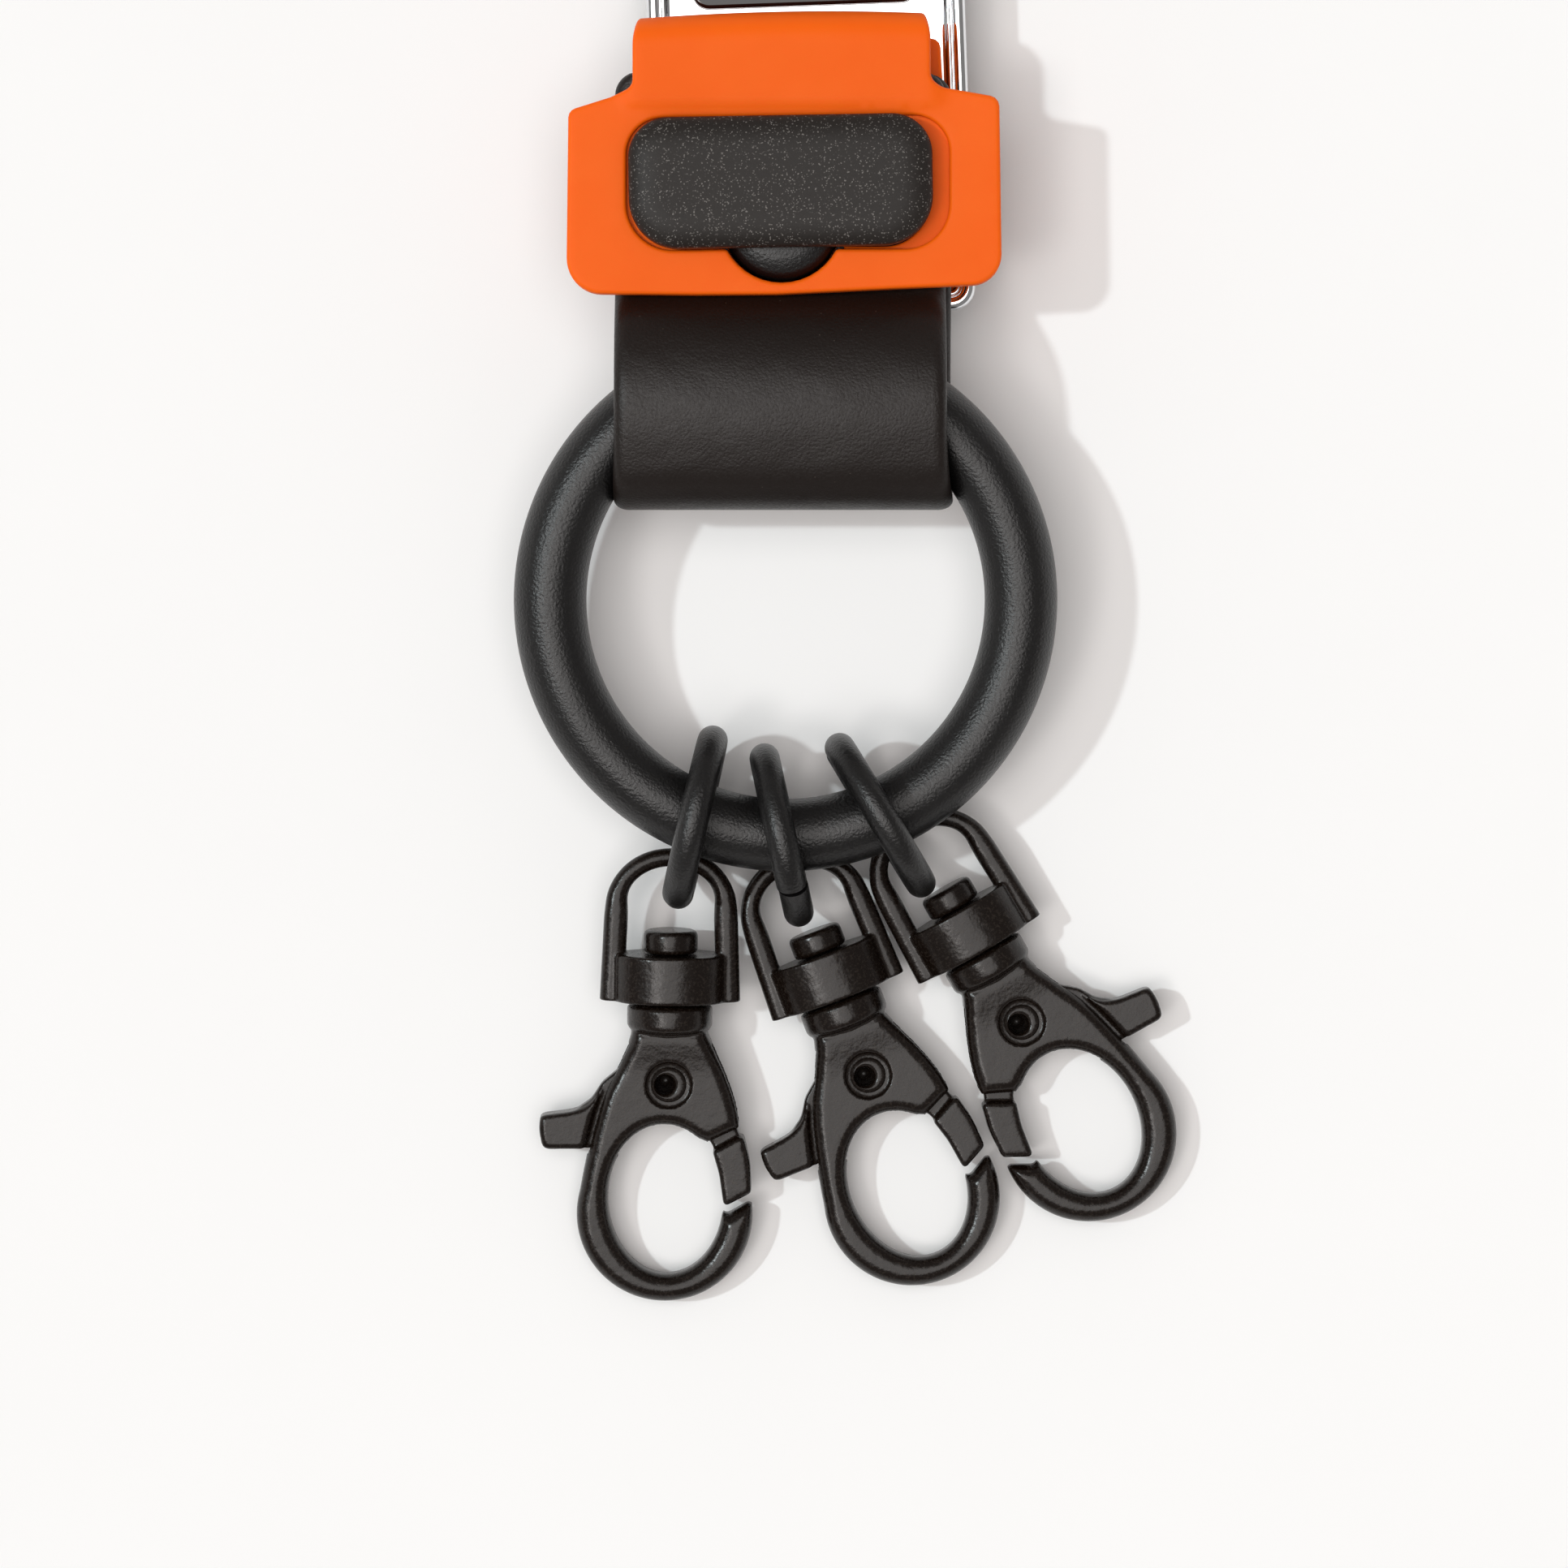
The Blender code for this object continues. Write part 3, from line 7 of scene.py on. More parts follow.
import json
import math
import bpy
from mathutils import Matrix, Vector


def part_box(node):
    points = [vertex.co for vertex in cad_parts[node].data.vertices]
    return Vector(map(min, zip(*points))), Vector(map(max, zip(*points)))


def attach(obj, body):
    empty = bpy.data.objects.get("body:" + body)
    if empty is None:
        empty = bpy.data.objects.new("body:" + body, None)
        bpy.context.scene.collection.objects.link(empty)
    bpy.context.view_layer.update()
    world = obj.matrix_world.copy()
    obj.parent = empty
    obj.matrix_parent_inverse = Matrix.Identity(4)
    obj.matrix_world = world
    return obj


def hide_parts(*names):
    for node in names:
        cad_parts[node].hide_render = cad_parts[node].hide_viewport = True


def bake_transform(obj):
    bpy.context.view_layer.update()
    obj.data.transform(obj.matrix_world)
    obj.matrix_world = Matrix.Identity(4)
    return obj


bl_info = {
    "name": "Key ring looks",
    "version": (1, 0, 0),
    "blender": (4, 5, 0),
    "location": "View3D > Sidebar > Key ring",
    "description": "Builds the finished pieces of a key ring over its packed model",
    "category": "Object",
}

import bmesh
import bpy
import numpy as np
from mathutils import Matrix, Vector, geometry

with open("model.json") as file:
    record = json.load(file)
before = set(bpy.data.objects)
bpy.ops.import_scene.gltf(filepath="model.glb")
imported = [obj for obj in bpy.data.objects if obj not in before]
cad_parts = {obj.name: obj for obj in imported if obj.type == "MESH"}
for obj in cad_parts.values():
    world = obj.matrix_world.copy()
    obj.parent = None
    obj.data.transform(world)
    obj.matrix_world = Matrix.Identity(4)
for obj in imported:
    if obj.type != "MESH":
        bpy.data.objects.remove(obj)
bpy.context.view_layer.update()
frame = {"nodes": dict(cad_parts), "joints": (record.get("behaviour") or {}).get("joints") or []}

MM = 0.001
JOINTS = {joint["name"]: joint for joint in frame["joints"]}
CLASP_NUMBERS = (1, 2, 3)


# Sizes and colours that a user would change

def length(name, default, description):
    """A length property, from millimetres."""
    return bpy.props.FloatProperty(
        name=name, description=description, default=default * MM, unit="LENGTH", precision=5
    )


def colour(name, default, description):
    """A colour property, from an sRGB hex value."""
    return bpy.props.FloatVectorProperty(
        name=name, description=description, default=linear(default), size=3, subtype="COLOR", min=0.0, max=1.0
    )


def linear(hex_text):
    """An sRGB hex value as linear red, green and blue."""
    parts = [int(hex_text[i : i + 2], 16) / 255 for i in (1, 3, 5)]
    return tuple(p / 12.92 if p <= 0.04045 else ((p + 0.055) / 1.055) ** 2.4 for p in parts)


class KeyRingSizes(bpy.types.PropertyGroup):
    """Sizes of the finished pieces."""

    ring_tube: length("Big ring bar radius", 3.0, "Half the thickness of the big ring's round bar")
    jump_wire: length("Jump ring wire radius", 1.25, "Half the thickness of the jump rings' wire")
    jump_radius: length("Jump ring radius", 6.5, "From a jump ring's centre to the middle of its wire")
    jump_split: length("Jump ring split", 0.25, "Width of the gap between a jump ring's two ends")
    split_step: length("Jump ring step", 0.1, "How far a jump ring's two ends miss each other sideways")
    rubber_edge: length("Latch edge", 0.35, "Radius of the rounded edges of the latch")
    strap_edge: length("Strap edge", 1.2, "Radius of the strap's rounded sides")
    bail_wire: length("Bail wire radius", 0.9, "Half the thickness of the bails' wire")
    cast_grain: length("Casting voxel", 0.13, "Voxel size that the clasps' castings are remeshed at")


class KeyRingColours(bpy.types.PropertyGroup):
    """Colours of the finishes."""

    orange: colour("Orange rubber", "#FA680B", "Pigment of the latch's silicone rubber")
    strap_black: colour("Strap black", "#150D09", "Pigment of the strap's rubber")
    ring_black: colour("Ring black", "#0B0A0A", "Powder coat of the big ring and the jump rings")
    peg_black: colour("Peg black", "#1F1A17", "Sandblasted coat of the peg's head")
    clasp_black: colour("Clasp black", "#120B07", "Lacquer of the clasps and bails")
    table: colour("Table", "#FAFAFA", "Paint of the white table top")


# Finishes

def add_node(tree, kind, inputs=None, **settings):
    """Adds a node, sets its properties, and fills its inputs with values or with other nodes' sockets."""
    made = tree.nodes.new(kind)
    for name, value in settings.items():
        setattr(made, name, value)
    for key, value in (inputs or {}).items():
        if isinstance(value, bpy.types.NodeSocket):
            tree.links.new(value, made.inputs[key])
        else:
            made.inputs[key].default_value = value
    return made


def per_metre(size_mm):
    """The scale at which a noise or cell pattern has features of about this size."""
    return 1.0 / (size_mm * MM)


def colours():
    return bpy.context.scene.key_ring_colours


def sizes():
    return bpy.context.scene.key_ring_sizes


def start_finish(name, base, patterns, **constants):
    """A new material with its shader's constants set, and its patterns by name.

    Each pattern is a noise, from its size in millimetres and its detail. Three sizes stretch it.
    """
    made = bpy.data.materials.new(name)
    made.use_nodes = True
    made.diffuse_color = (*base, 1.0)
    tree = made.node_tree
    shader = tree.nodes["Principled BSDF"]
    shader.inputs["Base Color"].default_value = (*base, 1.0)
    for key, value in constants.items():
        shader.inputs[key.replace("_", " ")].default_value = value
    place = add_node(tree, "ShaderNodeTexCoord").outputs["Object"]
    seen = {"place": place}
    for pattern, (size, detail) in patterns.items():
        given = {"Vector": place, "Detail": detail}
        if isinstance(size, tuple):
            scale = tuple(per_metre(side) for side in size)
            stretched = add_node(tree, "ShaderNodeMapping", {"Vector": place, "Scale": scale})
            given.update({"Vector": stretched.outputs["Vector"], "Scale": 1.0})
        else:
            given["Scale"] = per_metre(size)
        seen[pattern] = add_node(tree, "ShaderNodeTexNoise", given).outputs["Fac"]
    return made, seen


def drive(made, bump=None, gloss=None, tint=None):
    """Lets patterns drive a material, and gives it back.

    bump is a height, its strength and its depth in millimetres. gloss is a value and the least and the
    most roughness. tint is a factor and the linear colour that it mixes into the base.
    """
    tree = made.node_tree
    shader = tree.nodes["Principled BSDF"]
    if bump:
        height, strength, depth = bump
        given = {"Height": height, "Strength": strength, "Distance": depth * MM}
        bumped = add_node(tree, "ShaderNodeBump", given)
        tree.links.new(bumped.outputs["Normal"], shader.inputs["Normal"])
    if gloss:
        value, least, most = gloss
        spread = add_node(tree, "ShaderNodeMapRange", {"Value": value, "To Min": least, "To Max": most})
        tree.links.new(spread.outputs["Result"], shader.inputs["Roughness"])
    if tint:
        factor, other = tint
        base = tuple(shader.inputs["Base Color"].default_value)
        given = {"Factor": factor, "A": base, "B": (*other, 1.0)}
        mix = add_node(tree, "ShaderNodeMix", given, data_type="RGBA")
        tree.links.new(mix.outputs["Result"], shader.inputs["Base Color"])
    return made


def orange_silicone():
    """Silicone rubber, moulded in one piece, pigmented through: satin, with the mould's fine texture."""
    base = tuple(colours().orange)
    # Pigment clouds 6 mm across, barely visible, and the mould's spark texture of 0.15 mm
    made, seen = start_finish(
        "silicone_rubber_orange_moulded", base, {"cloud": (6.0, 3.0), "grain": (0.15, 4.0)}, IOR=1.41,
        Specular_IOR_Level=0.22, Subsurface_Weight=0.15, Subsurface_Radius=(0.0012, 0.0003, 0.0001),
        Subsurface_Scale=1.0,
    )
    deeper = [channel * share for channel, share in zip(base, (0.93, 0.84, 0.7))]
    return drive(made, (seen["grain"], 0.12, 0.03), (seen["cloud"], 0.46, 0.6), (seen["cloud"], deeper))


def strap_rubber():
    """Black rubber, moulded as a flat band: satin with a grainy sheen and a little lint on it."""
    # The band's grain is near 0.1 mm; drawn at 0.22 mm, as coarse as it has to be to show in the render
    made, seen = start_finish(
        "rubber_black_moulded_band", colours().strap_black, {"grain": (0.22, 2.0), "wave": (5.0, 2.0)},
        IOR=1.5, Specular_IOR_Level=0.36,
    )
    tree = made.node_tree
    height = add_node(
        tree, "ShaderNodeMath", {0: seen["wave"], 1: 4.0, 2: seen["grain"]}, operation="MULTIPLY_ADD"
    )
    # Lint and dust: sparse specks 0.1 mm wide, one in each few cells of 1.1 mm
    given = {"Vector": seen["place"], "Scale": per_metre(1.1), "Randomness": 1.0}
    dust = add_node(tree, "ShaderNodeTexVoronoi", given).outputs["Distance"]
    given = {"Value": dust, "From Min": 0.02, "From Max": 0.06, "To Min": 0.5, "To Max": 0.0}
    speck = add_node(tree, "ShaderNodeMapRange", given).outputs["Result"]
    bump = (height.outputs["Value"], 0.9, 0.045)
    return drive(made, bump, (seen["grain"], 0.3, 0.58), (speck, (0.11, 0.09, 0.075)))


def ring_powder_coat():
    """Matte black powder coat on steel bar: its fine orange peel gives the highlights a grainy edge."""
    # Powder grains fused to a peel near 0.1 mm, drawn at 0.24 mm, as coarse as it has to be to show in
    # the render, and patches about 8 mm across that handling has polished
    made, seen = start_finish(
        "steel_black_powder_coat", colours().ring_black, {"peel": (0.24, 2.0), "patch": (8.0, 3.0)}, IOR=1.5
    )
    return drive(made, (seen["peel"], 1.0, 0.06), (seen["patch"], 0.3, 0.46))


def sandblasted_coat():
    """Black coat on a sandblasted casting: matte, with painted glints in its colour where the tips of its
    grains would catch the light.
    """
    made, seen = start_finish(
        "zinc_black_sandblasted", colours().peg_black, {}, Roughness=0.5, IOR=1.5, Specular_IOR_Level=0.29
    )
    tree = made.node_tree
    # Blasted grains of 0.09 mm, each of its own height and its own value for the painted glints
    given = {"Vector": seen["place"], "Scale": per_metre(0.09), "Randomness": 1.0}
    grain = add_node(tree, "ShaderNodeTexVoronoi", given).outputs["Color"]
    tips = add_node(tree, "ShaderNodeSeparateColor", {"Color": grain}).outputs
    # The top tenth of the grains get painted glints: their colour is lightened as a painted highlight of the
    # light on their tips
    painted_grain_glint = add_node(
        tree, "ShaderNodeMapRange",
        {"Value": tips["Red"], "From Min": 0.9, "From Max": 1.0, "To Min": 0.0, "To Max": 0.5},
        interpolation_type="SMOOTHERSTEP",
    )
    # The painted glints mix a lighter grey into the base colour, as painted highlights
    return drive(made, (tips["Green"], 0.35, 0.03), tint=(painted_grain_glint.outputs["Result"], (0.3, 0.28, 0.26)))


def clasp_lacquer():
    """Thick black lacquer on a zinc casting: semi-gloss, with orange peel and the casting's pits under it."""
    # Orange peel of 0.8 mm over the casting's grain near 0.12 mm, drawn at 0.22 mm so that it shows
    made, seen = start_finish(
        "zinc_black_lacquer", colours().clasp_black, {"peel": (0.8, 1.0), "grain": (0.22, 2.0)}, IOR=1.5,
        Specular_IOR_Level=0.33,
    )
    tree = made.node_tree
    height = add_node(
        tree, "ShaderNodeMath", {0: seen["peel"], 1: 2.0, 2: seen["grain"]}, operation="MULTIPLY_ADD"
    )
    # The lacquer is thin on the grain's tips, where the zinc's brown shows through
    given = {"Value": seen["grain"], "From Min": 0.52, "From Max": 0.75, "To Min": 0.0, "To Max": 0.35}
    bare = add_node(tree, "ShaderNodeMapRange", given).outputs["Result"]
    bump = (height.outputs["Value"], 0.5, 0.03)
    return drive(made, bump, (seen["grain"], 0.16, 0.36), (bare, (0.05, 0.038, 0.03)))


def chrome_plate():
    """Bright chrome on pressed steel: a mirror with faint wiping marks."""
    # Wiping marks 0.2 mm wide and 9 mm long, and the pressed sheet's ripple of 3 mm
    made, seen = start_finish(
        "steel_chrome_plated", linear("#E4E6E8"), {"wiped": ((0.2, 9.0, 3.0), 3.0), "ripple": (3.0, 2.0)},
        Metallic=1.0,
    )
    return drive(made, (seen["ripple"], 0.15, 0.1), (seen["wiped"], 0.03, 0.13))


def gloss_enamel():
    """Black enamel, poured and cured: a deep gloss with the faintest waves, 2.5 mm across."""
    made, seen = start_finish("enamel_black_poured", linear("#0B0B0C"), {"wave": (2.5, 2.0)}, IOR=1.52)
    return drive(made, (seen["wave"], 0.2, 0.05), (seen["wave"], 0.03, 0.09))


def satin_lacquer():
    """Satin black lacquer on steel sheet: even, with a fine texture of sprayed droplets of 0.2 mm."""
    made, seen = start_finish(
        "steel_black_satin_lacquer", linear("#171616"), {"spray": (0.2, 3.0)}, IOR=1.5,
        Specular_IOR_Level=0.3,
    )
    return drive(made, (seen["spray"], 0.25, 0.02), (seen["spray"], 0.38, 0.54))


def spring_steel():
    """Nickel-plated spring steel, brushed along the clip: silky lines in a soft mirror."""
    # Brush lines 0.08 mm apart and 12 mm long, along the clip
    made, seen = start_finish(
        "spring_steel_nickel_brushed", linear("#B9B6B0"), {"lines": ((0.08, 12.0, 0.3), 3.0)}, Metallic=1.0
    )
    return drive(made, (seen["lines"], 0.12, 0.02), (seen["lines"], 0.18, 0.42))


FINISHES = {
    "orange_rubber": orange_silicone,
    "black_rubber": strap_rubber,
    "matte_black_ring": ring_powder_coat,
    "sanded_black": sandblasted_coat,
    "clasp_black": clasp_lacquer,
    "chrome_plate": chrome_plate,
    "gloss_panel": gloss_enamel,
    "black_backing": satin_lacquer,
    "spring_steel": spring_steel,
}
made_finishes = {}


def finish(slot_name):
    """The material of one of the record's slots, made once."""
    if slot_name not in made_finishes:
        made_finishes[slot_name] = FINISHES[slot_name]()
    return made_finishes[slot_name]


def refinish(node_name, slot_name):
    """Gives a CAD node that stays in view its detailed material."""
    node = frame["nodes"][node_name]
    node.data.materials.clear()
    node.data.materials.append(finish(slot_name))


# Outlines and meshes

# In millimetres
MERGE_WITHIN = 1e-4
DELAUNAY_EPSILON = 1e-5


def rounded_path(corners, spacing):
    """A closed outline through corners of (x, y, radius), with points no further apart than the spacing."""
    points = []
    count = len(corners)
    for i, (x, y, radius) in enumerate(corners):
        here = Vector((x, y))
        back = (Vector(corners[i - 1][:2]) - here).normalized()
        ahead = (Vector(corners[(i + 1) % count][:2]) - here).normalized()
        half = math.acos(max(-1.0, min(1.0, back.dot(ahead)))) / 2
        if radius <= 0 or math.degrees(half) > 89.5:
            points.append(here)
            continue
        centre = here + (back + ahead).normalized() * radius / math.sin(half)
        first = here + back * radius / math.tan(half) - centre
        last = here + ahead * radius / math.tan(half) - centre
        start = math.atan2(first.y, first.x)
        sweep = (math.atan2(last.y, last.x) - start + math.pi) % (2 * math.pi) - math.pi
        steps = max(3, math.ceil(abs(sweep) * radius / spacing))
        for k in range(steps + 1):
            turn = start + sweep * k / steps
            points.append(centre + radius * Vector((math.cos(turn), math.sin(turn))))
    outline = []
    for i, point in enumerate(points):
        gap = points[(i + 1) % len(points)] - point
        pieces = max(1, math.ceil(gap.length / spacing))
        outline += [tuple(point + gap * k / pieces) for k in range(pieces)]
    return np.array(outline)


def arc_corners(centre, radii, start, end, count, lean=0.0):
    """Corners without rounding along an ellipse, in degrees."""
    turn = math.radians(lean)
    corners = []
    for t in np.radians(np.linspace(start, end, count)):
        across, along = radii[0] * math.cos(t), radii[1] * math.sin(t)
        x = centre[0] + across * math.cos(turn) - along * math.sin(turn)
        y = centre[1] + across * math.sin(turn) + along * math.cos(turn)
        corners.append((x, y, 0.0))
    return tuple(corners)


def inset(outline, distance):
    """A closed outline moved to its left by a distance: inwards where it runs anticlockwise."""
    ahead = np.roll(outline, -1, axis=0) - outline
    ahead /= np.linalg.norm(ahead, axis=1)[:, None]
    back = np.roll(ahead, 1, axis=0)
    normal = np.stack([-(ahead + back)[:, 1], (ahead + back)[:, 0]], axis=1)
    normal /= np.linalg.norm(normal, axis=1)[:, None]
    square = np.stack([-ahead[:, 1], ahead[:, 0]], axis=1)
    stretch = 1 / np.clip((normal * square).sum(axis=1), 0.5, 1)
    return outline + normal * (distance * stretch)[:, None]


def inside(points, outlines):
    """Which points lie inside an odd number of the outlines."""
    crossings = np.zeros(len(points), int)
    for outline in outlines:
        a = outline
        b = np.roll(outline, -1, axis=0)
        for (ax, ay), (bx, by) in zip(a, b):
            if ay == by:
                continue
            between = (points[:, 1] > min(ay, by)) & (points[:, 1] <= max(ay, by))
            at = ax + (points[:, 1] - ay) * (bx - ax) / (by - ay)
            crossings += between & (at > points[:, 0])
    return crossings % 2 == 1


def triangles(outlines, extra):
    """Points and triangles that fill the outlines, through the outlines' points and extra ones."""
    edges = []
    start = 0
    for outline in outlines:
        count = len(outline)
        edges += [(start + i, start + (i + 1) % count) for i in range(count)]
        start += count
    points = [Vector(point) for point in np.concatenate([*outlines, *extra]).tolist()]
    made = geometry.delaunay_2d_cdt(points, edges, [], 1, DELAUNAY_EPSILON)
    places = np.array([tuple(point) for point in made[0]])
    faces = np.array([tuple(face) for face in made[2]])
    return places, faces[inside(places[faces].mean(axis=1), outlines)].tolist()


def filled(outlines, spacing):
    """Points and triangles that fill the outlines, with inner points on a grid."""
    every = np.concatenate(outlines)
    low, high = every.min(axis=0), every.max(axis=0)
    rows = []
    step = spacing * math.sqrt(3) / 2
    for row, y in enumerate(np.arange(low[1] + step / 2, high[1], step)):
        xs = np.arange(low[0] + spacing * (0.25 + 0.5 * (row % 2)), high[0], spacing)
        rows.append(np.stack([xs, np.full(len(xs), y)], axis=1))
    grid = np.concatenate(rows)
    grid = grid[inside(grid, outlines)]
    nearest = np.full(len(grid), np.inf)
    for point in every:
        nearest = np.minimum(nearest, ((grid - point) ** 2).sum(axis=1))
    return triangles(outlines, [grid[nearest > (0.6 * spacing) ** 2]])


def skin(rings, capped=False, shape=None):
    """Rings of points joined by faces, in a new shape or in the one given; an end ring may be one point."""
    shape = bmesh.new() if shape is None else shape
    rings = [[shape.verts.new(point) for point in ring] for ring in rings]
    for near, far in zip(rings, rings[1:]):
        count = max(len(near), len(far))
        for i in range(count):
            j = (i + 1) % count
            corners = (near[i % len(near)], far[i % len(far)], far[j % len(far)], near[j % len(near)])
            shape.faces.new(list(dict.fromkeys(corners)))
    if capped:
        shape.faces.new(rings[0])
        shape.faces.new(rings[-1])
    bmesh.ops.recalc_face_normals(shape, faces=shape.faces)
    return shape


def closed(shape, distance=MERGE_WITHIN):
    """The shape, with its points that meet merged and its normals outwards."""
    bmesh.ops.remove_doubles(shape, verts=shape.verts, dist=distance)
    bmesh.ops.recalc_face_normals(shape, faces=shape.faces)
    return shape


def plate(outline, holes, heights, edges, spacing, steps=5):
    """A plate in millimetres between two heights, with its lower and upper edges rounded by these radii."""
    low, top = heights
    low_edge, top_edge = edges
    shape = bmesh.new()
    loops = [outline] + [hole[::-1] for hole in holes]
    turns = [math.pi / 2 * k / steps for k in range(steps + 1)]
    levels = [(low_edge * (1 - math.sin(t)), low + low_edge * (1 - math.cos(t))) for t in turns]
    levels += [(top_edge * (1 - math.cos(t)), top - top_edge * (1 - math.sin(t))) for t in turns]
    for loop in loops:
        skin([[(x, y, height) for x, y in inset(loop, distance)] for distance, height in levels], shape=shape)
    for height, edge in zip(heights, edges):
        points, faces = filled([inset(loop, edge) for loop in loops], spacing)
        corners = [shape.verts.new((x, y, height)) for x, y in points]
        for face in faces:
            shape.faces.new([corners[i] for i in face])
    return closed(shape)


def reach_from(points, outline):
    """Each point's distance from the nearest edge of the outline."""
    least = np.full(len(points), np.inf)
    for a, b in zip(outline, np.roll(outline, -1, axis=0)):
        along = b - a
        t = np.clip(((points - a) @ along) / (along @ along), 0, 1)
        least = np.minimum(least, np.linalg.norm(points - a - t[:, None] * along, axis=1))
    return least


def pillow(outline, half, edge, rise, spacing, rings):
    """A plate about its own plane whose faces curve down to its outline, over this width, by this rise."""
    ahead = np.roll(outline, -1, axis=0)
    if (outline[:, 0] * ahead[:, 1] - ahead[:, 0] * outline[:, 1]).sum() < 0:
        outline = outline[::-1]
    near = []
    for k in range(1, rings + 1):
        distance = edge * (1 - math.cos(math.pi / 2 * k / rings))
        ring = inset(outline, distance)
        near.append(ring[inside(ring, [outline]) & (reach_from(ring, outline) > distance * 0.97)])
    low, high = outline.min(axis=0), outline.max(axis=0)
    columns, rows = (np.arange(low[side], high[side], spacing) for side in (0, 1))
    grid = np.stack(np.meshgrid(columns, rows), axis=-1).reshape(-1, 2)
    grid = grid[inside(grid, [outline])]
    grid = grid[reach_from(grid, outline) > edge + 0.4 * spacing]
    places, faces = triangles([outline], [*near, grid])
    depth = np.clip(reach_from(places, outline) / edge, 0, 1)
    heights = half - rise + rise * np.sqrt(1 - (1 - depth) ** 2)
    shape = bmesh.new()
    top = [shape.verts.new((x, y, z)) for (x, y), z in zip(places, heights)]
    bottom = [shape.verts.new((x, y, -z)) for (x, y), z in zip(places, heights)]
    for a, b, c in faces:
        shape.faces.new((top[a], top[b], top[c]))
        shape.faces.new((bottom[c], bottom[b], bottom[a]))
    for i in range(len(outline)):
        j = (i + 1) % len(outline)
        shape.faces.new((bottom[i], bottom[j], top[j], top[i]))
    return closed(shape)


def turned(profile, steps=64):
    """A shape turned about Z from points of radius and height, with both its ends on the axis."""
    turns = [2 * math.pi * k / steps for k in range(steps)]
    rings = []
    for radius, height in profile:
        around = turns if radius > 0 else turns[:1]
        rings.append([(radius * math.cos(t), radius * math.sin(t), height) for t in around])
    return skin(rings)


def round_off(profile, radius, steps=5):
    """A profile with its inner points replaced by arcs of up to this radius."""
    rounded = [profile[0]]
    for before, here, after in zip(profile, profile[1:], profile[2:]):
        corner = Vector(here)
        back = Vector(before) - corner
        ahead = Vector(after) - corner
        reach = min(radius, back.length * 0.45, ahead.length * 0.45)
        first = corner + back.normalized() * reach
        last = corner + ahead.normalized() * reach
        for k in range(steps + 1):
            t = k / steps
            rounded.append(tuple(first * (1 - t) ** 2 + corner * 2 * t * (1 - t) + last * t * t))
    return rounded + [profile[-1]]


def directions(path):
    """The direction of a path at each of its points."""
    ahead = np.gradient(path, axis=0)
    return ahead / np.linalg.norm(ahead, axis=1)[:, None]


def reach_along(path):
    """How far along a path each of its points lies."""
    return np.concatenate([[0], np.cumsum(np.linalg.norm(np.diff(path, axis=0), axis=1))])


def squared_bar(path, radii, powers, sides=28):
    """A bar along points in the XY plane; its section is round at power 2 and squarer above it."""
    turns = 2 * math.pi * np.arange(sides) / sides
    rings = []
    for place, along, radius, power in zip(path, directions(path), radii, powers):
        reach = (np.abs(np.cos(turns)) ** power + np.abs(np.sin(turns)) ** power) ** (-1 / power)
        ring = place + radius * (reach * np.cos(turns))[:, None] * np.cross(along, (0, 0, 1))
        ring[:, 2] += radius * reach * np.sin(turns)
        rings.append(ring)
    return skin(rings, capped=True)


def moved(shape, matrix):
    bmesh.ops.transform(shape, matrix=matrix, verts=shape.verts)
    return shape


def add_shape(target, other):
    """Adds a shape to the target, and frees it."""
    mesh = bpy.data.meshes.new("part_shape")
    other.to_mesh(mesh)
    other.free()
    target.from_mesh(mesh)
    bpy.data.meshes.remove(mesh)


def points_of(shape):
    return np.array([tuple(vertex.co) for vertex in shape.verts])


def move_points(shape, points):
    for vertex, point in zip(shape.verts, points):
        vertex.co = point


# Objects

def loose(name, shape, matrix=Matrix()):
    """A shape in millimetres becomes an object in metres, at the origin, with its place in its mesh."""
    moved(shape, matrix @ Matrix.Scale(MM, 4))
    mesh = bpy.data.meshes.new(name)
    shape.to_mesh(mesh)
    shape.free()
    item = bpy.data.objects.new(name, mesh)
    bpy.context.scene.collection.objects.link(item)
    return item


def dress(item, slot_name, sharp):
    """Gives a piece its finish, and smooth shading with its edges over this angle kept sharp."""
    mesh = item.data
    mesh.materials.clear()
    mesh.materials.append(finish(slot_name))
    mesh.shade_smooth()
    mesh.set_sharp_from_angle(angle=math.radians(sharp))
    return item


def to_piece(name, shape, matrix, slot_name, sharp):
    """A finished object from a shape in its own frame."""
    return dress(loose(name, shape, matrix), slot_name, sharp)


def cut(item, tool):
    """Takes the tool's shape out of an object, by a modifier."""
    boolean = item.modifiers.new("cut", "BOOLEAN")
    boolean.operation = "DIFFERENCE"
    boolean.solver = "EXACT"
    boolean.object = tool


def remesh(item, voxel):
    """Joins an object's shapes into one skin of small even faces, by a modifier."""
    modifier = item.modifiers.new("remesh", "REMESH")
    modifier.mode = "VOXEL"
    modifier.voxel_size = voxel


def settle(item, *tools):
    """Turns an object's modifiers into plain mesh, and removes the tools that they used."""
    evaluated = item.evaluated_get(bpy.context.evaluated_depsgraph_get())
    mesh = bpy.data.meshes.new_from_object(evaluated)
    item.modifiers.clear()
    item.data = mesh
    for tool in tools:
        bpy.data.objects.remove(tool, do_unlink=True)
    return item


def smooth_rise(value, low, high):
    """0 below low, 1 above high and a smooth rise between them."""
    t = np.clip((value - low) / (high - low), 0, 1)
    return t * t * (3 - 2 * t)


# Frames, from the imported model's joints

def joint_place(name):
    joint = JOINTS[name]
    return Vector(joint["pos_m"]), Vector(joint["axis"]).normalized()


def frame_of(origin, across, along, out):
    turn = Matrix((across, along, out)).transposed().to_4x4()
    return Matrix.Translation(origin) @ turn


def clip_frame():
    """The clip's frame: origin under its middle, X across the plate, Y along it, Z out of its front."""
    across = joint_place("belt_leaf_hinge")[1]
    return frame_of(Vector((0, 0, 0)), across, Vector((0, 0, 1)).cross(across), Vector((0, 0, 1)))


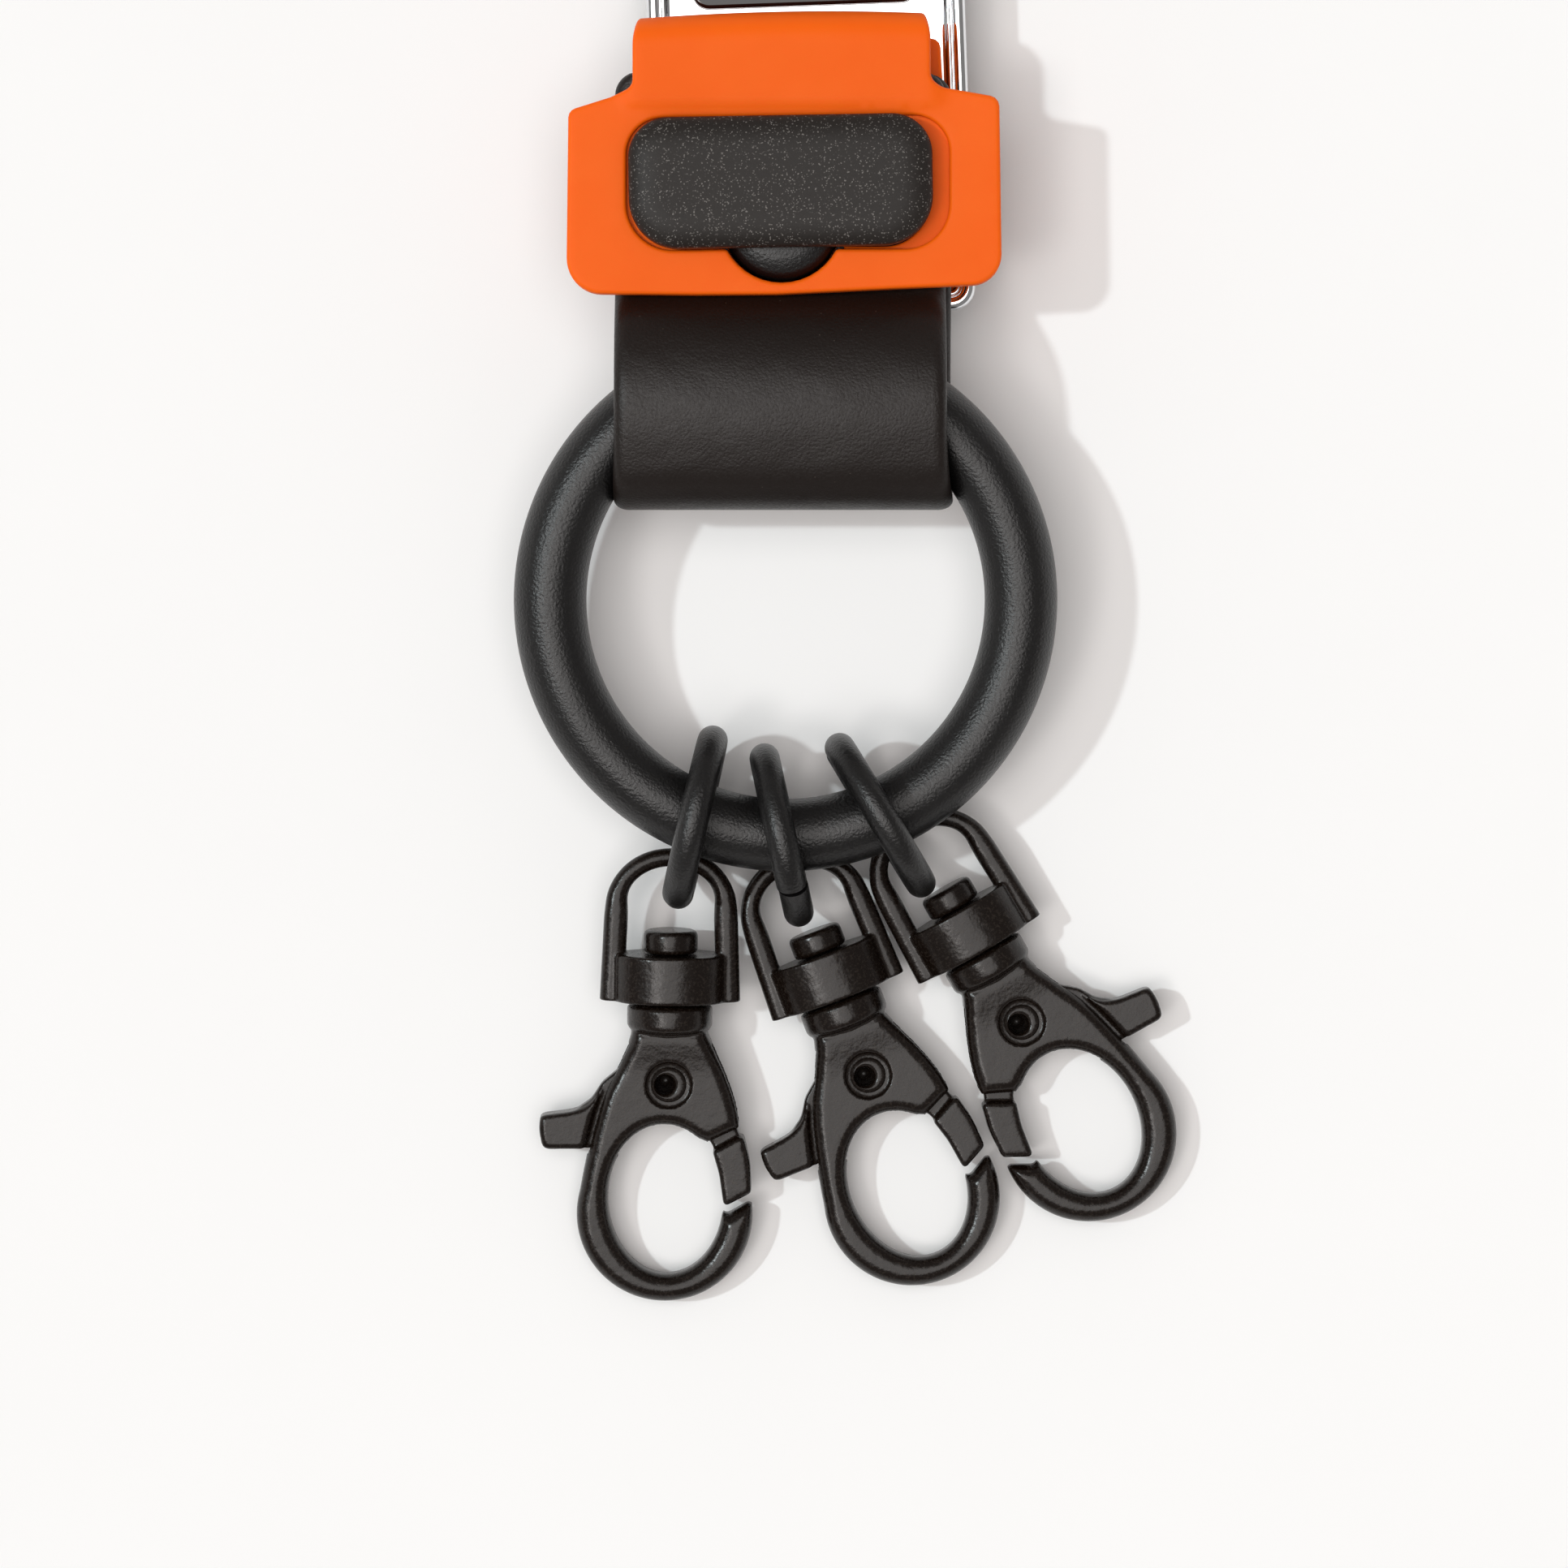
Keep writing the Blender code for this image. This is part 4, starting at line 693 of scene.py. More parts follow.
def latch_frame():
    return Matrix.Translation((joint_place("latch_lift")[0].x, 0, 0))


def big_ring_frame():
    origin, axis = joint_place("ring_turn")
    across = Vector((1, 0, 0))
    return frame_of(origin, across, axis.cross(across), axis)


def jump_frame(number):
    """A jump ring's frame: X outwards from the big ring, Y up, Z along its own axis."""
    origin, axis = joint_place(f"jump_ring_{number}_swing")
    up = Vector((0, 0, 1))
    outwards = up.cross(axis)
    if outwards.y > 0:
        outwards.negate()
    return frame_of(origin, outwards, up, outwards.cross(up))


def chain_frame(number):
    """A clasp's frame at its swivel: X across, Y towards the bail, Z out of its front."""
    origin, down = joint_place(f"clasp_{number}_swivel")
    out = joint_place(f"lever_{number}_pivot")[1]
    if out.z < 0:
        out.negate()
    return frame_of(origin, (-down).cross(out), -down, out)


# Geometry Nodes for the round bar of the rings

def ring_tree(name, whole):
    """A round bar bent to a ring, whole or with a split between its ends."""
    tree = bpy.data.node_groups.new(name, "GeometryNodeTree")
    tree.interface.new_socket(name="Geometry", in_out="OUTPUT", socket_type="NodeSocketGeometry")
    kinds = {
        "Ring radius": "Float", "Bar radius": "Float", "Steps round": "Int", "Sides": "Int",
        "Finish": "Material",
    }
    if not whole:
        kinds.update({"Start angle": "Float", "Sweep angle": "Float"})
    for socket, kind in kinds.items():
        tree.interface.new_socket(name=socket, in_out="INPUT", socket_type=f"NodeSocket{kind}")
    given = add_node(tree, "NodeGroupInput").outputs
    values = {"Resolution": given["Steps round"], "Radius": given["Ring radius"]}
    if not whole:
        values.update({"Start Angle": given["Start angle"], "Sweep Angle": given["Sweep angle"]})
    path = add_node(tree, f"GeometryNodeCurve{'PrimitiveCircle' if whole else 'Arc'}", values)
    values = {"Resolution": given["Sides"], "Radius": given["Bar radius"]}
    section = add_node(tree, "GeometryNodeCurvePrimitiveCircle", values)
    path, section = path.outputs["Curve"], section.outputs["Curve"]
    values = {"Curve": path, "Profile Curve": section, "Fill Caps": not whole}
    bar = add_node(tree, "GeometryNodeCurveToMesh", values)
    real = add_node(tree, "GeometryNodeRealizeInstances", {"Geometry": bar.outputs["Mesh"]})
    values = {"Geometry": real.outputs["Geometry"], "Material": given["Finish"]}
    painted = add_node(tree, "GeometryNodeSetMaterial", values)
    add_node(tree, "NodeGroupOutput", {"Geometry": painted.outputs["Geometry"]})
    return tree


def grown(name, tree, values):
    """An object whose mesh a node tree makes from named values, as plain mesh."""
    item = bpy.data.objects.new(name, bpy.data.meshes.new(name))
    bpy.context.scene.collection.objects.link(item)
    modifier = item.modifiers.new("nodes", "NODES")
    modifier.node_group = tree
    for socket in tree.interface.items_tree:
        if socket.in_out == "INPUT":
            modifier[socket.identifier] = values[socket.name]
    settle(item)
    shape = bmesh.new()
    shape.from_mesh(item.data)
    closed(shape, MERGE_WITHIN * MM).to_mesh(item.data)
    shape.free()
    return item


# Stage

TABLE_REACH = 2500.0
TABLE_MIDDLE = (0, -60, -0.04)
# The picture's middle on the table and the lens's height over it; the table's width in view
CAMERA_PLACE = (-1.96, -60.0, 600.0)
VIEW_WIDTH = 131.4
SENSOR_WIDTH = 36.0
# Each lamp: strength, colour, bearing, elevation and the width of its disc, in degrees
LAMPS = {
    "key_light": (0.88, (0.89, 0.98, 1.0), 172.0, 55.5, 2.4),
    "left_softbox": (0.3, (1.0, 0.95, 0.92), 214.0, 64.0, 12.0),
    "top_softbox": (1.5, (0.995, 0.957, 0.935), 214.0, 84.0, 48.0),
}
ROOM_COLOUR = (1.0, 0.95, 0.925)
# The room's walls are pale up to the first height and dim from the second, as the sine of the elevation
WALL_HEIGHTS = (0.12, 0.26)
WALL_PALE = 0.9
WALL_DIM = 0.24


class KEYRING_OT_stage(bpy.types.Operator):
    """Makes the white table, the lights, the room and the camera straight above"""

    bl_idname = "key_ring.stage"
    bl_label = "Stage"

    def execute(self, context):
        white_table()
        for name, lamp in LAMPS.items():
            hang_lamp(name, *lamp)
        context.scene.world = dim_room()
        context.scene.camera = overhead_camera()
        context.scene.view_settings.view_transform = "Standard"
        return {"FINISHED"}


def white_table():
    shape = bmesh.new()
    bmesh.ops.create_grid(shape, x_segments=8, y_segments=8, size=TABLE_REACH)
    table = loose("table_top", shape, Matrix.Translation(Vector(TABLE_MIDDLE) * MM))
    base = tuple(colours().table)
    # The paint's faint clouds, 20 mm across
    made, seen = start_finish(
        "table_white_matte_paint", base, {"cloud": (20.0, 4.0)}, Roughness=0.9, Specular_IOR_Level=0.1
    )
    table.data.materials.append(drive(made, tint=(seen["cloud"], [channel * 0.985 for channel in base])))


def hang_lamp(name, strength, tint, bearing, elevation, width):
    """A far lamp: a crisp key, or a soft box where its disc is wide."""
    lamp = bpy.data.lights.new(name, "SUN")
    lamp.energy = strength
    lamp.color = tint
    lamp.angle = math.radians(width)
    item = bpy.data.objects.new(name, lamp)
    turn, height = math.radians(bearing), math.radians(elevation)
    towards = Vector((math.cos(turn) * math.cos(height), math.sin(turn) * math.cos(height), math.sin(height)))
    item.rotation_euler = towards.to_track_quat("Z", "Y").to_euler()
    bpy.context.scene.collection.objects.link(item)


def dim_room():
    """A world like a dim room with a pale lower wall."""
    world = bpy.data.worlds.new("studio_room")
    world.use_nodes = True
    tree = world.node_tree
    tree.nodes.clear()
    direction = add_node(tree, "ShaderNodeTexCoord").outputs["Generated"]
    height = add_node(tree, "ShaderNodeSeparateXYZ", {"Vector": direction}).outputs["Z"]
    heights = {"Value": height, "From Min": WALL_HEIGHTS[0], "From Max": WALL_HEIGHTS[1]}
    values = {**heights, "To Min": WALL_PALE, "To Max": WALL_DIM}
    wall = add_node(tree, "ShaderNodeMapRange", values, interpolation_type="SMOOTHSTEP")
    values = {"Color": (*ROOM_COLOUR, 1.0), "Strength": wall.outputs["Result"]}
    room = add_node(tree, "ShaderNodeBackground", values)
    add_node(tree, "ShaderNodeOutputWorld", {"Surface": room.outputs["Background"]})
    return world


def overhead_camera():
    """A long lens straight above the table, with the picture's middle under it."""
    lens = bpy.data.cameras.new("overhead_camera")
    lens.sensor_width = SENSOR_WIDTH
    lens.lens = SENSOR_WIDTH * CAMERA_PLACE[2] / VIEW_WIDTH
    lens.clip_end = 10.0
    camera = bpy.data.objects.new("overhead_camera", lens)
    camera.location = [c * MM for c in CAMERA_PLACE]
    bpy.context.scene.collection.objects.link(camera)
    return camera


# Belt clip

PLATE_LOW = (-13.2, -21.2)
PLATE_HIGH = (13.2, 28.8)
PLATE_CORNER = 2.0
# The rim's section from the plate's underside, over both beads, to the sunk floor: inset, then height
RIM_SECTION = (
    (0.9, 5.9), (0.35, 5.92), (0.1, 6.05), (0.0, 6.3), (0.0, 6.62), (0.06, 6.86), (0.22, 7.06), (0.45, 7.17),
    (0.64, 7.2), (0.84, 7.16), (1.03, 7.03), (1.12, 6.9), (1.16, 6.78), (1.22, 6.78), (1.28, 6.86),
    (1.38, 6.92), (1.5, 6.9), (1.6, 6.8), (1.66, 6.65), (1.7, 6.5), (1.8, 6.42), (2.0, 6.4),
)
INLAY_LOW = (-9.4, 4.5)
INLAY_HIGH = (9.4, 26.5)
INLAY_CORNER = 1.5
INLAY_SECTION = ((0.3, 6.5), (0.05, 6.52), (0.0, 6.62), (0.0, 6.98), (0.05, 7.1), (0.16, 7.17), (0.34, 7.2))
# No corner of a section is sharper than this radius
LEAST_CORNER = 0.12
STEEL_NODES = (
    "belt_leaf", "hinge_pin", "clip_spring", "peg_washer", "latch_rivet_left", "latch_rivet_right",
    "plate_rivet_left", "plate_rivet_right",
)


def framed(low, high, corner, section, steps=10):
    """A block over a rounded rectangle, whose sides follow a section of insets and heights."""
    rings = []
    for distance, height in section:
        radius = max(corner - distance, LEAST_CORNER)
        x0, y0 = (side + distance + radius for side in low)
        x1, y1 = (side - distance - radius for side in high)
        ring = []
        for (cx, cy), start in (((x1, y1), 0), ((x0, y1), 90), ((x0, y0), 180), ((x1, y0), 270)):
            for turn in np.radians(np.linspace(start, start + 90, steps + 1)):
                ring.append((cx + radius * math.cos(turn), cy + radius * math.sin(turn), height))
        rings.append(ring)
    return skin(rings, capped=True)


class KEYRING_OT_clip(bpy.types.Operator):
    """Makes the chrome tray with its double bead and the enamel inlay, and finishes the clip's steel"""

    bl_idname = "key_ring.clip"
    bl_label = "Belt clip"

    def execute(self, context):
        place = clip_frame()
        shape = framed(PLATE_LOW, PLATE_HIGH, PLATE_CORNER, RIM_SECTION)
        tray = to_piece("tray_chrome", shape, place, "chrome_plate", 50)
        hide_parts("chrome_tray")
        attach(tray, "clip")
        shape = framed(INLAY_LOW, INLAY_HIGH, INLAY_CORNER, INLAY_SECTION)
        inlay = to_piece("inlay_enamel", shape, place, "gloss_panel", 50)
        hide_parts("gloss_inlay")
        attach(inlay, "clip")
        refinish("clip_backing", "black_backing")
        for name in STEEL_NODES:
            refinish(name, "spring_steel")
        return {"FINISHED"}


# Latch

TAB_TOP = 14.2
TAB_THICKNESS = 2.0
# The tab and neck from the front, in the latch's frame: corners of x, y and radius, before the fold
TAB_CORNERS = (
    (-17.63, -19.84, 2.9), (-7.0, -19.96, 0), (-0.37, -19.91, 0), (8.23, -19.49, 0), (18.05, -19.03, 2.5),
    (17.83, -3.77, 0.9), (15.22, -3.31, 2.0), (13.14, -2.96, 1.5), (12.2, -2.3, 1.0), (12.13, 11.2, 0.4),
    (-12.2, 11.2, 0.4), (-12.2, -2.92, 0.9), (-14.0, -3.77, 2.0), (-17.46, -4.86, 0.8),
)
PEG_AXIS_Y = -13.9
AT_PEG = Matrix.Translation((0, PEG_AXIS_Y, 0))
WINDOW_CORNERS = ((13.75, -16.2, 3.7), (13.75, -5.2, 3.0), (-12.7, -5.5, 3.0), (-12.7, -16.4, 3.8))
# The round notch in the window's lower edge, with its mouth's corners rounded
NOTCH_RADIUS = 5.05
NOTCH_MOUTH = 0.5
NOTCH_ARC = (207, 333)
# A thinner ledge runs round the window's foot, open at the notch, and stands in its own outline
LEDGE_CORNERS = (
    (5.3, -16.8, 0), (14.3, -16.8, 3.9), (14.3, -4.6, 3.2), (-13.2, -4.8, 3.2), (-13.2, -17.0, 4.0),
    (-5.3, -17.0, 0), (-5.1, -16.05, 0), (-12.15, -16.05, 3.6), (-12.15, -5.6, 3.0), (11.95, -5.6, 3.0),
    (11.95, -15.95, 3.5), (5.1, -15.95, 0),
)
LEDGE_HEIGHTS = (0.05, 1.3)
LEDGE_EDGES = (0.1, 0.2)
BASE_CORNERS = ((-11.3, -19.4, 0.8), (11.45, -19.4, 0.8), (11.0, 1.3, 0.8), (-11.3, 1.3, 0.8))
BASE_HEIGHTS = (6.5, 8.2)
# The fold: the tab's top surface bends down round its first radius, drops, and bends in to the base
FOLD_START_Y = 1.0
FOLD_RADIUS = 2.3
FOLD_NARROWER = 0.03
WALL_DROP = 2.8
FOOT_RADIUS = 1.6
FOOT_THICKNESS = 1.0
# The neck is lifted past its step, between its sides, where x fades out from the second to the first
NECK_LIFT = 0.4
NECK_STEP = (-4.95, -4.05)
NECK_SIDES = (13.8, 12.0)
NECK_FADE = 1.0
# The fold bows outwards most near its middle, from the first of these lengths to the second
BOW_MIDDLE = 4.0
BOW_RISE = 0.17
BOW_CURVE = 0.0024
BOW_FROM = (-3.0, 2.0)
BOW_FADE = 2.0


def fold_place(along, depth):
    """Where a point of the flat pattern goes, by its place along the fold and its depth under the surface."""
    bend_end = FOLD_START_Y + FOLD_RADIUS * math.pi / 2
    foot_end = bend_end + WALL_DROP + FOOT_RADIUS * math.pi / 2
    bend = (np.clip(along, FOLD_START_Y, bend_end) - FOLD_START_Y) / FOLD_RADIUS
    drop = np.clip(along - bend_end, 0, WALL_DROP)
    foot = (np.clip(along, bend_end + WALL_DROP, foot_end) - bend_end - WALL_DROP) / FOOT_RADIUS
    past = np.maximum(along - foot_end, 0)
    y = np.minimum(along, FOLD_START_Y) + FOLD_RADIUS * np.sin(bend) - FOOT_RADIUS * (1 - np.cos(foot)) - past
    z = TAB_TOP - FOLD_RADIUS * (1 - np.cos(bend)) - drop - FOOT_RADIUS * np.sin(foot)
    return y - depth * np.sin(bend + foot), z - depth * np.cos(bend + foot)


def bend_latch(points):
    """Folds the flat pattern: the neck rides up over the strap's end, and its fold bows outwards."""
    x, along, height = points.T
    wall = FOLD_START_Y + FOLD_RADIUS * math.pi / 2
    foot = wall + WALL_DROP
    thin = 1 - (1 - FOOT_THICKNESS / TAB_THICKNESS) * smooth_rise(along, wall, foot)
    y, z = fold_place(along, (TAB_THICKNESS - height) * thin)
    bow = BOW_RISE - BOW_CURVE * (x - BOW_MIDDLE) ** 2
    y = y + bow * smooth_rise(along, *BOW_FROM) * (1 - smooth_rise(along, foot, foot + BOW_FADE))
    lift = smooth_rise(along, *NECK_STEP) * smooth_rise(-np.abs(x), -NECK_SIDES[0], -NECK_SIDES[1])
    z = z + NECK_LIFT * lift * (1 - smooth_rise(along, FOLD_START_Y, wall + NECK_FADE))
    x = x * (1 - FOLD_NARROWER * smooth_rise(along, FOLD_START_Y, wall))
    return np.stack([x, y, z], axis=1)


class KEYRING_OT_latch(bpy.types.Operator):
    """Makes the orange rubber latch: the tab with its neck and fold, and the base in the tray"""

    bl_idname = "key_ring.latch"
    bl_label = "Latch"

    def execute(self, context):
        edges = [sizes().rubber_edge / MM] * 2
        notch = [list(corner) for corner in arc_corners((0, PEG_AXIS_Y), (NOTCH_RADIUS,) * 2, *NOTCH_ARC, 15)]
        notch[0][2] = notch[-1][2] = NOTCH_MOUTH
        window = rounded_path([*notch, *WINDOW_CORNERS], 0.4)
        outline = rounded_path(TAB_CORNERS, 0.45)
        shape = plate(outline, [window], (0, TAB_THICKNESS), edges, spacing=0.55)
        ledge = rounded_path(LEDGE_CORNERS, 0.4)
        add_shape(shape, plate(ledge, [], LEDGE_HEIGHTS, LEDGE_EDGES, spacing=0.55))
        move_points(shape, bend_latch(points_of(shape)))
        front = to_piece("latch_front_rubber", shape, latch_frame(), "orange_rubber", 60)
        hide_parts("latch_tab")
        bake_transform(front)
        shape = plate(rounded_path(BASE_CORNERS, 0.5), [], BASE_HEIGHTS, edges, spacing=1.2)
        base = to_piece("latch_base_rubber", shape, clip_frame(), "orange_rubber", 60)
        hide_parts("latch_base")
        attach(base, "clip")
        return {"FINISHED"}


# Peg

PEG_HEAD = ((-12.5, -16.15, 4.1), (12.35, -16.15, 4.1), (12.35, -5.4, 3.3), (-12.5, -5.4, 3.3))
PEG_HEAD_MIDDLE = (0, -10.8, 15.2)
PEG_HEAD_HALF = 1.6
PEG_HEAD_UNDER = -1.05
PEG_HEAD_EDGE = 2.7
PEG_HEAD_RISE = 1.15
PEG_HEAD_TURN = 1.0
PEG_STEM = (
    (0, 14.62), (3.3, 14.3), (4.55, 13.7), (4.75, 12.6), (4.75, 8.35), (2.0, 8.35), (2.0, 7.35), (0, 7.35),
)


class KEYRING_OT_peg(bpy.types.Operator):
    """Makes the peg's crowned oblong head and its round stem"""

    bl_idname = "key_ring.peg"
    bl_label = "Peg"

    def execute(self, context):
        outline = rounded_path(PEG_HEAD, 0.3)
        shape = pillow(outline, PEG_HEAD_HALF, PEG_HEAD_EDGE, PEG_HEAD_RISE, spacing=0.5, rings=12)
        points = points_of(shape)
        # The head is crowned above and flat underneath
        points[:, 2] = np.maximum(points[:, 2], PEG_HEAD_UNDER)
        move_points(shape, points)
        x, y, z = PEG_HEAD_MIDDLE
        turn = Matrix.Rotation(math.radians(PEG_HEAD_TURN), 4, "Z")
        moved(shape, Matrix.Translation((x, y, z)) @ turn @ Matrix.Translation((-x, -y, 0)))
        head = to_piece("peg_head_blasted", shape, latch_frame(), "sanded_black", 60)
        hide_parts("latch_peg")
        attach(head, "clip")
        shape = moved(turned(round_off(PEG_STEM, 0.7), 96), AT_PEG)
        stem = to_piece("peg_stem_coated", shape, latch_frame(), "matte_black_ring", 50)
        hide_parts("latch_peg")
        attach(stem, "clip")
        return {"FINISHED"}


# Strap

STRAP_HALF = 13.6
STRAP_THICKNESS = 1.6
STRAP_TOP_Y = -1.4
STRAP_LEG_END_Y = -19.75
FRONT_LEG_Z = 11.1
BACK_LEG_Z = 9.2
# Over the ring the front rises in one arc to its crest, falls in a flatter one and rolls under the bar
CREST = (-28.5, 15.4)
RISE_FROM_Y = -20.3
RISE_RADIUS = 10.5
FALL_TO_Y = -32.3
FALL_RADIUS = 12.0
POCKET_TOP = (-25.45, 11.0)
POCKET_BOTTOM = (-32.53, 10.43)
POCKET_RADIUS = 4.3
ROLL_RADIUS = 4.1
ROLL_FROM = 110.0
STRAP_CORNER = 2.0
# From the first of these shares of the band's length to the second it moves aside from its front's place
SHIFT_SHARES = (0.4, 0.6)
FRONT_ASIDE = -0.1
BACK_SHIFT = 0.5
# The band is wider round its middle, by this share of its length
FLARE = 0.35
FLARE_SHARE = 0.06
STRAP_HOLE = ((0, 12.5), (4.95, 12.5), (4.95, 8.3), (0, 8.3))


def strap_path():
    """The strap's middle line as points of y and z: down the front, round the ring and up the back."""
    def arc(centre, turns, radii):
        turns = np.radians(turns)
        return np.stack([centre[0] + radii * np.cos(turns), centre[1] + radii * np.sin(turns)], axis=1)

    def crown(start, end, radius):
        ys = np.linspace(start, end, 16)
        return np.stack([ys, CREST[1] - radius + np.sqrt(radius**2 - (ys - CREST[0]) ** 2)], axis=1)

    tilt = math.degrees(math.atan2(POCKET_TOP[1] - POCKET_BOTTOM[1], POCKET_TOP[0] - POCKET_BOTTOM[0]))
    away = np.array([STRAP_LEG_END_Y - POCKET_TOP[0], BACK_LEG_Z - POCKET_TOP[1]])
    back_turn = math.degrees(math.atan2(away[1], away[0]) - math.acos(POCKET_RADIUS / np.hypot(*away)))
    roll_turns = np.linspace(ROLL_FROM, 270 + tilt, 50)
    rough = np.concatenate([
        [[STRAP_TOP_Y, FRONT_LEG_Z], [STRAP_LEG_END_Y, FRONT_LEG_Z]],
        crown(RISE_FROM_Y, CREST[0], RISE_RADIUS)[:-1],
        crown(CREST[0], FALL_TO_Y, FALL_RADIUS),
        arc(POCKET_BOTTOM, roll_turns, np.linspace(ROLL_RADIUS, POCKET_RADIUS, len(roll_turns))),
        arc(POCKET_TOP, np.linspace(270 + tilt, 360 + back_turn, 12), POCKET_RADIUS),
        [[STRAP_LEG_END_Y, BACK_LEG_Z], [STRAP_TOP_Y, BACK_LEG_Z]],
    ])
    reach = reach_along(rough)
    at = np.linspace(0, reach[-1], 420)
    even = np.stack([np.interp(at, reach, rough[:, 0]), np.interp(at, reach, rough[:, 1])], axis=1)
    # The rubber's stiffness rounds the kinks where the legs leave the ring
    for _ in range(40):
        even[1:-1] = (even[:-2] + 2 * even[1:-1] + even[2:]) / 4
    return even


def strap_section(edge):
    """The strap's section as (side, step back from that side, depth): a flat band with round sides."""
    points = []
    for side in (1, -1):
        for turn in np.radians(np.linspace(-90, 90, 13)):
            points.append((side, edge * (math.cos(turn) - 1), side * math.sin(turn) * STRAP_THICKNESS / 2))
    return points


def strap_shape():
    """The whole band along its path, with round corners at its two ends."""
    path = strap_path()
    reach = reach_along(path)
    shares = reach / reach[-1]
    corner = STRAP_CORNER - np.minimum(np.minimum(reach, reach[-1] - reach), STRAP_CORNER)
    narrower = STRAP_CORNER - np.sqrt(STRAP_CORNER**2 - corner**2)
    halves = STRAP_HALF - narrower + FLARE * np.exp(-(((shares - 0.5) / FLARE_SHARE) ** 2))
    middles = FRONT_ASIDE + BACK_SHIFT * smooth_rise(shares, *SHIFT_SHARES)
    section = strap_section(sizes().strap_edge / MM)
    rings = []
    for (y, z), (over, up), half, middle in zip(path, directions(path), halves, middles):
        ring = []
        for side, back, lift in section:
            ring.append((middle + side * (half + back), y + up * lift, z - over * lift))
        rings.append(ring)
    return skin(rings, capped=True)


class KEYRING_OT_strap(bpy.types.Operator):
    """Makes the strap in one band: up the front, round the big ring and up the back, with its peg hole"""

    bl_idname = "key_ring.strap"
    bl_label = "Strap"

    def execute(self, context):
        band = loose("strap_rubber_band", strap_shape(), latch_frame())
        hole = loose("strap_hole", moved(turned(STRAP_HOLE, 96), AT_PEG), latch_frame())
        cut(band, hole)
        dress(settle(band, hole), "black_rubber", 50)
        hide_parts("strap_front_leg", "strap_back_leg", "strap_loop")
        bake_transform(band)
        return {"FINISHED"}


# Rings

JUMP_SPLITS = {1: 8.0, 2: 50.0, 3: 200.0}


class KEYRING_OT_rings(bpy.types.Operator):
    """Makes the big ring and the three split jump rings from round bar"""

    bl_idname = "key_ring.rings"
    bl_label = "Rings"

    def execute(self, context):
        bar = sizes().ring_tube
        low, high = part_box("big_ring")
        values = {
            "Ring radius": (high[0] - low[0]) / 2 - bar, "Bar radius": bar, "Steps round": 192, "Sides": 48,
            "Finish": finish("matte_black_ring"),
        }
        ring = grown("big_ring_bar", ring_tree("whole_ring", True), values)
        ring.data.transform(big_ring_frame())
        dress(ring, "matte_black_ring", 80)
        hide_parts("big_ring")
        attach(ring, "big_ring")
        tree = ring_tree("split_ring", False)
        for number in CLASP_NUMBERS:
            jump_ring(number, tree)
        return {"FINISHED"}


def jump_ring(number, tree):
    """A ring of wire whose ends, closed by hand, miss each other a little."""
    radius = sizes().jump_radius
    gap = sizes().jump_split / radius
    start = math.radians(JUMP_SPLITS[number]) + gap / 2
    values = {
        "Ring radius": radius, "Bar radius": sizes().jump_wire, "Start angle": start,
        "Sweep angle": 2 * math.pi - gap, "Steps round": 120, "Sides": 28,
        "Finish": finish("matte_black_ring"),
    }
    ring = grown(f"jump_ring_{number}_wire", tree, values)
    for vertex in ring.data.vertices:
        turn = (math.atan2(vertex.co.y, vertex.co.x) - start) % (2 * math.pi)
        vertex.co.z += sizes().split_step * (0.5 - turn / (2 * math.pi))
    ring.data.transform(jump_frame(number))
    dress(ring, "matte_black_ring", 40)
    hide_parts(f"jump_ring_{number}")
    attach(ring, f"jump_ring_{number}")


# Bails and swivel pins

BAIL_HALF = 4.52
BAIL_FOOT_HALF = 4.85
BAIL_SHOULDER = 6.2
BAIL_REACH = 10.06
# Where along its length the wire goes over from its squared leg to its round arch
ARCH_FROM = (4.7, 8.56)
LEG_THICKER = 0.1
ARCH_THINNER = 0.13
LEG_SQUARENESS = 0.6
BARREL_HALF = 2.0
BARREL_HALF_WIDTH = 4.7
BARREL_HALF_HEIGHT = 3.4
BARREL_PROFILE = ((0, BARREL_HALF), (1, BARREL_HALF), (1, -BARREL_HALF), (0, -BARREL_HALF))
BAIL_GRAIN = 0.11
PIN_PROFILE = ((0, 4.0), (2.25, 4.0), (2.25, 2.1), (1.3, 2.1), (1.3, -4.0), (0, -4.0))
ALONG_Y = Matrix.Rotation(math.radians(-90), 4, "X")


def bail_points():
    """The bail's wire from foot to foot: legs that lean in towards the shoulders, and the arch."""
    legs = []
    for y in np.linspace(-BARREL_HALF + 0.05, BAIL_SHOULDER, 18):
        lean = (BAIL_FOOT_HALF - BAIL_HALF) * (1 - (y + BARREL_HALF) / (BAIL_SHOULDER + BARREL_HALF))
        legs.append((BAIL_HALF + lean, y, 0))
    turns = np.linspace(0, math.pi, 33)[1:-1]
    height = BAIL_REACH - BAIL_SHOULDER
    arch = [(BAIL_HALF * math.cos(t), BAIL_SHOULDER + height * math.sin(t), 0) for t in turns]
    return np.array(legs + arch + [(-x, y, z) for x, y, z in legs[::-1]], float)


def bail_shape():
    """The bail's wire, with the barrel between its feet."""
    points = bail_points()
    arch = smooth_rise(points[:, 1], *ARCH_FROM)
    radii = sizes().bail_wire / MM + LEG_THICKER * (1 - arch) - ARCH_THINNER * arch
    shape = squared_bar(points, radii, 2 + LEG_SQUARENESS * (1 - arch))
    oval = Matrix.Diagonal((BARREL_HALF_WIDTH, BARREL_HALF_HEIGHT, 1, 1))
    add_shape(shape, moved(turned(round_off(BARREL_PROFILE, 0.1), 72), ALONG_Y @ oval))
    return shape


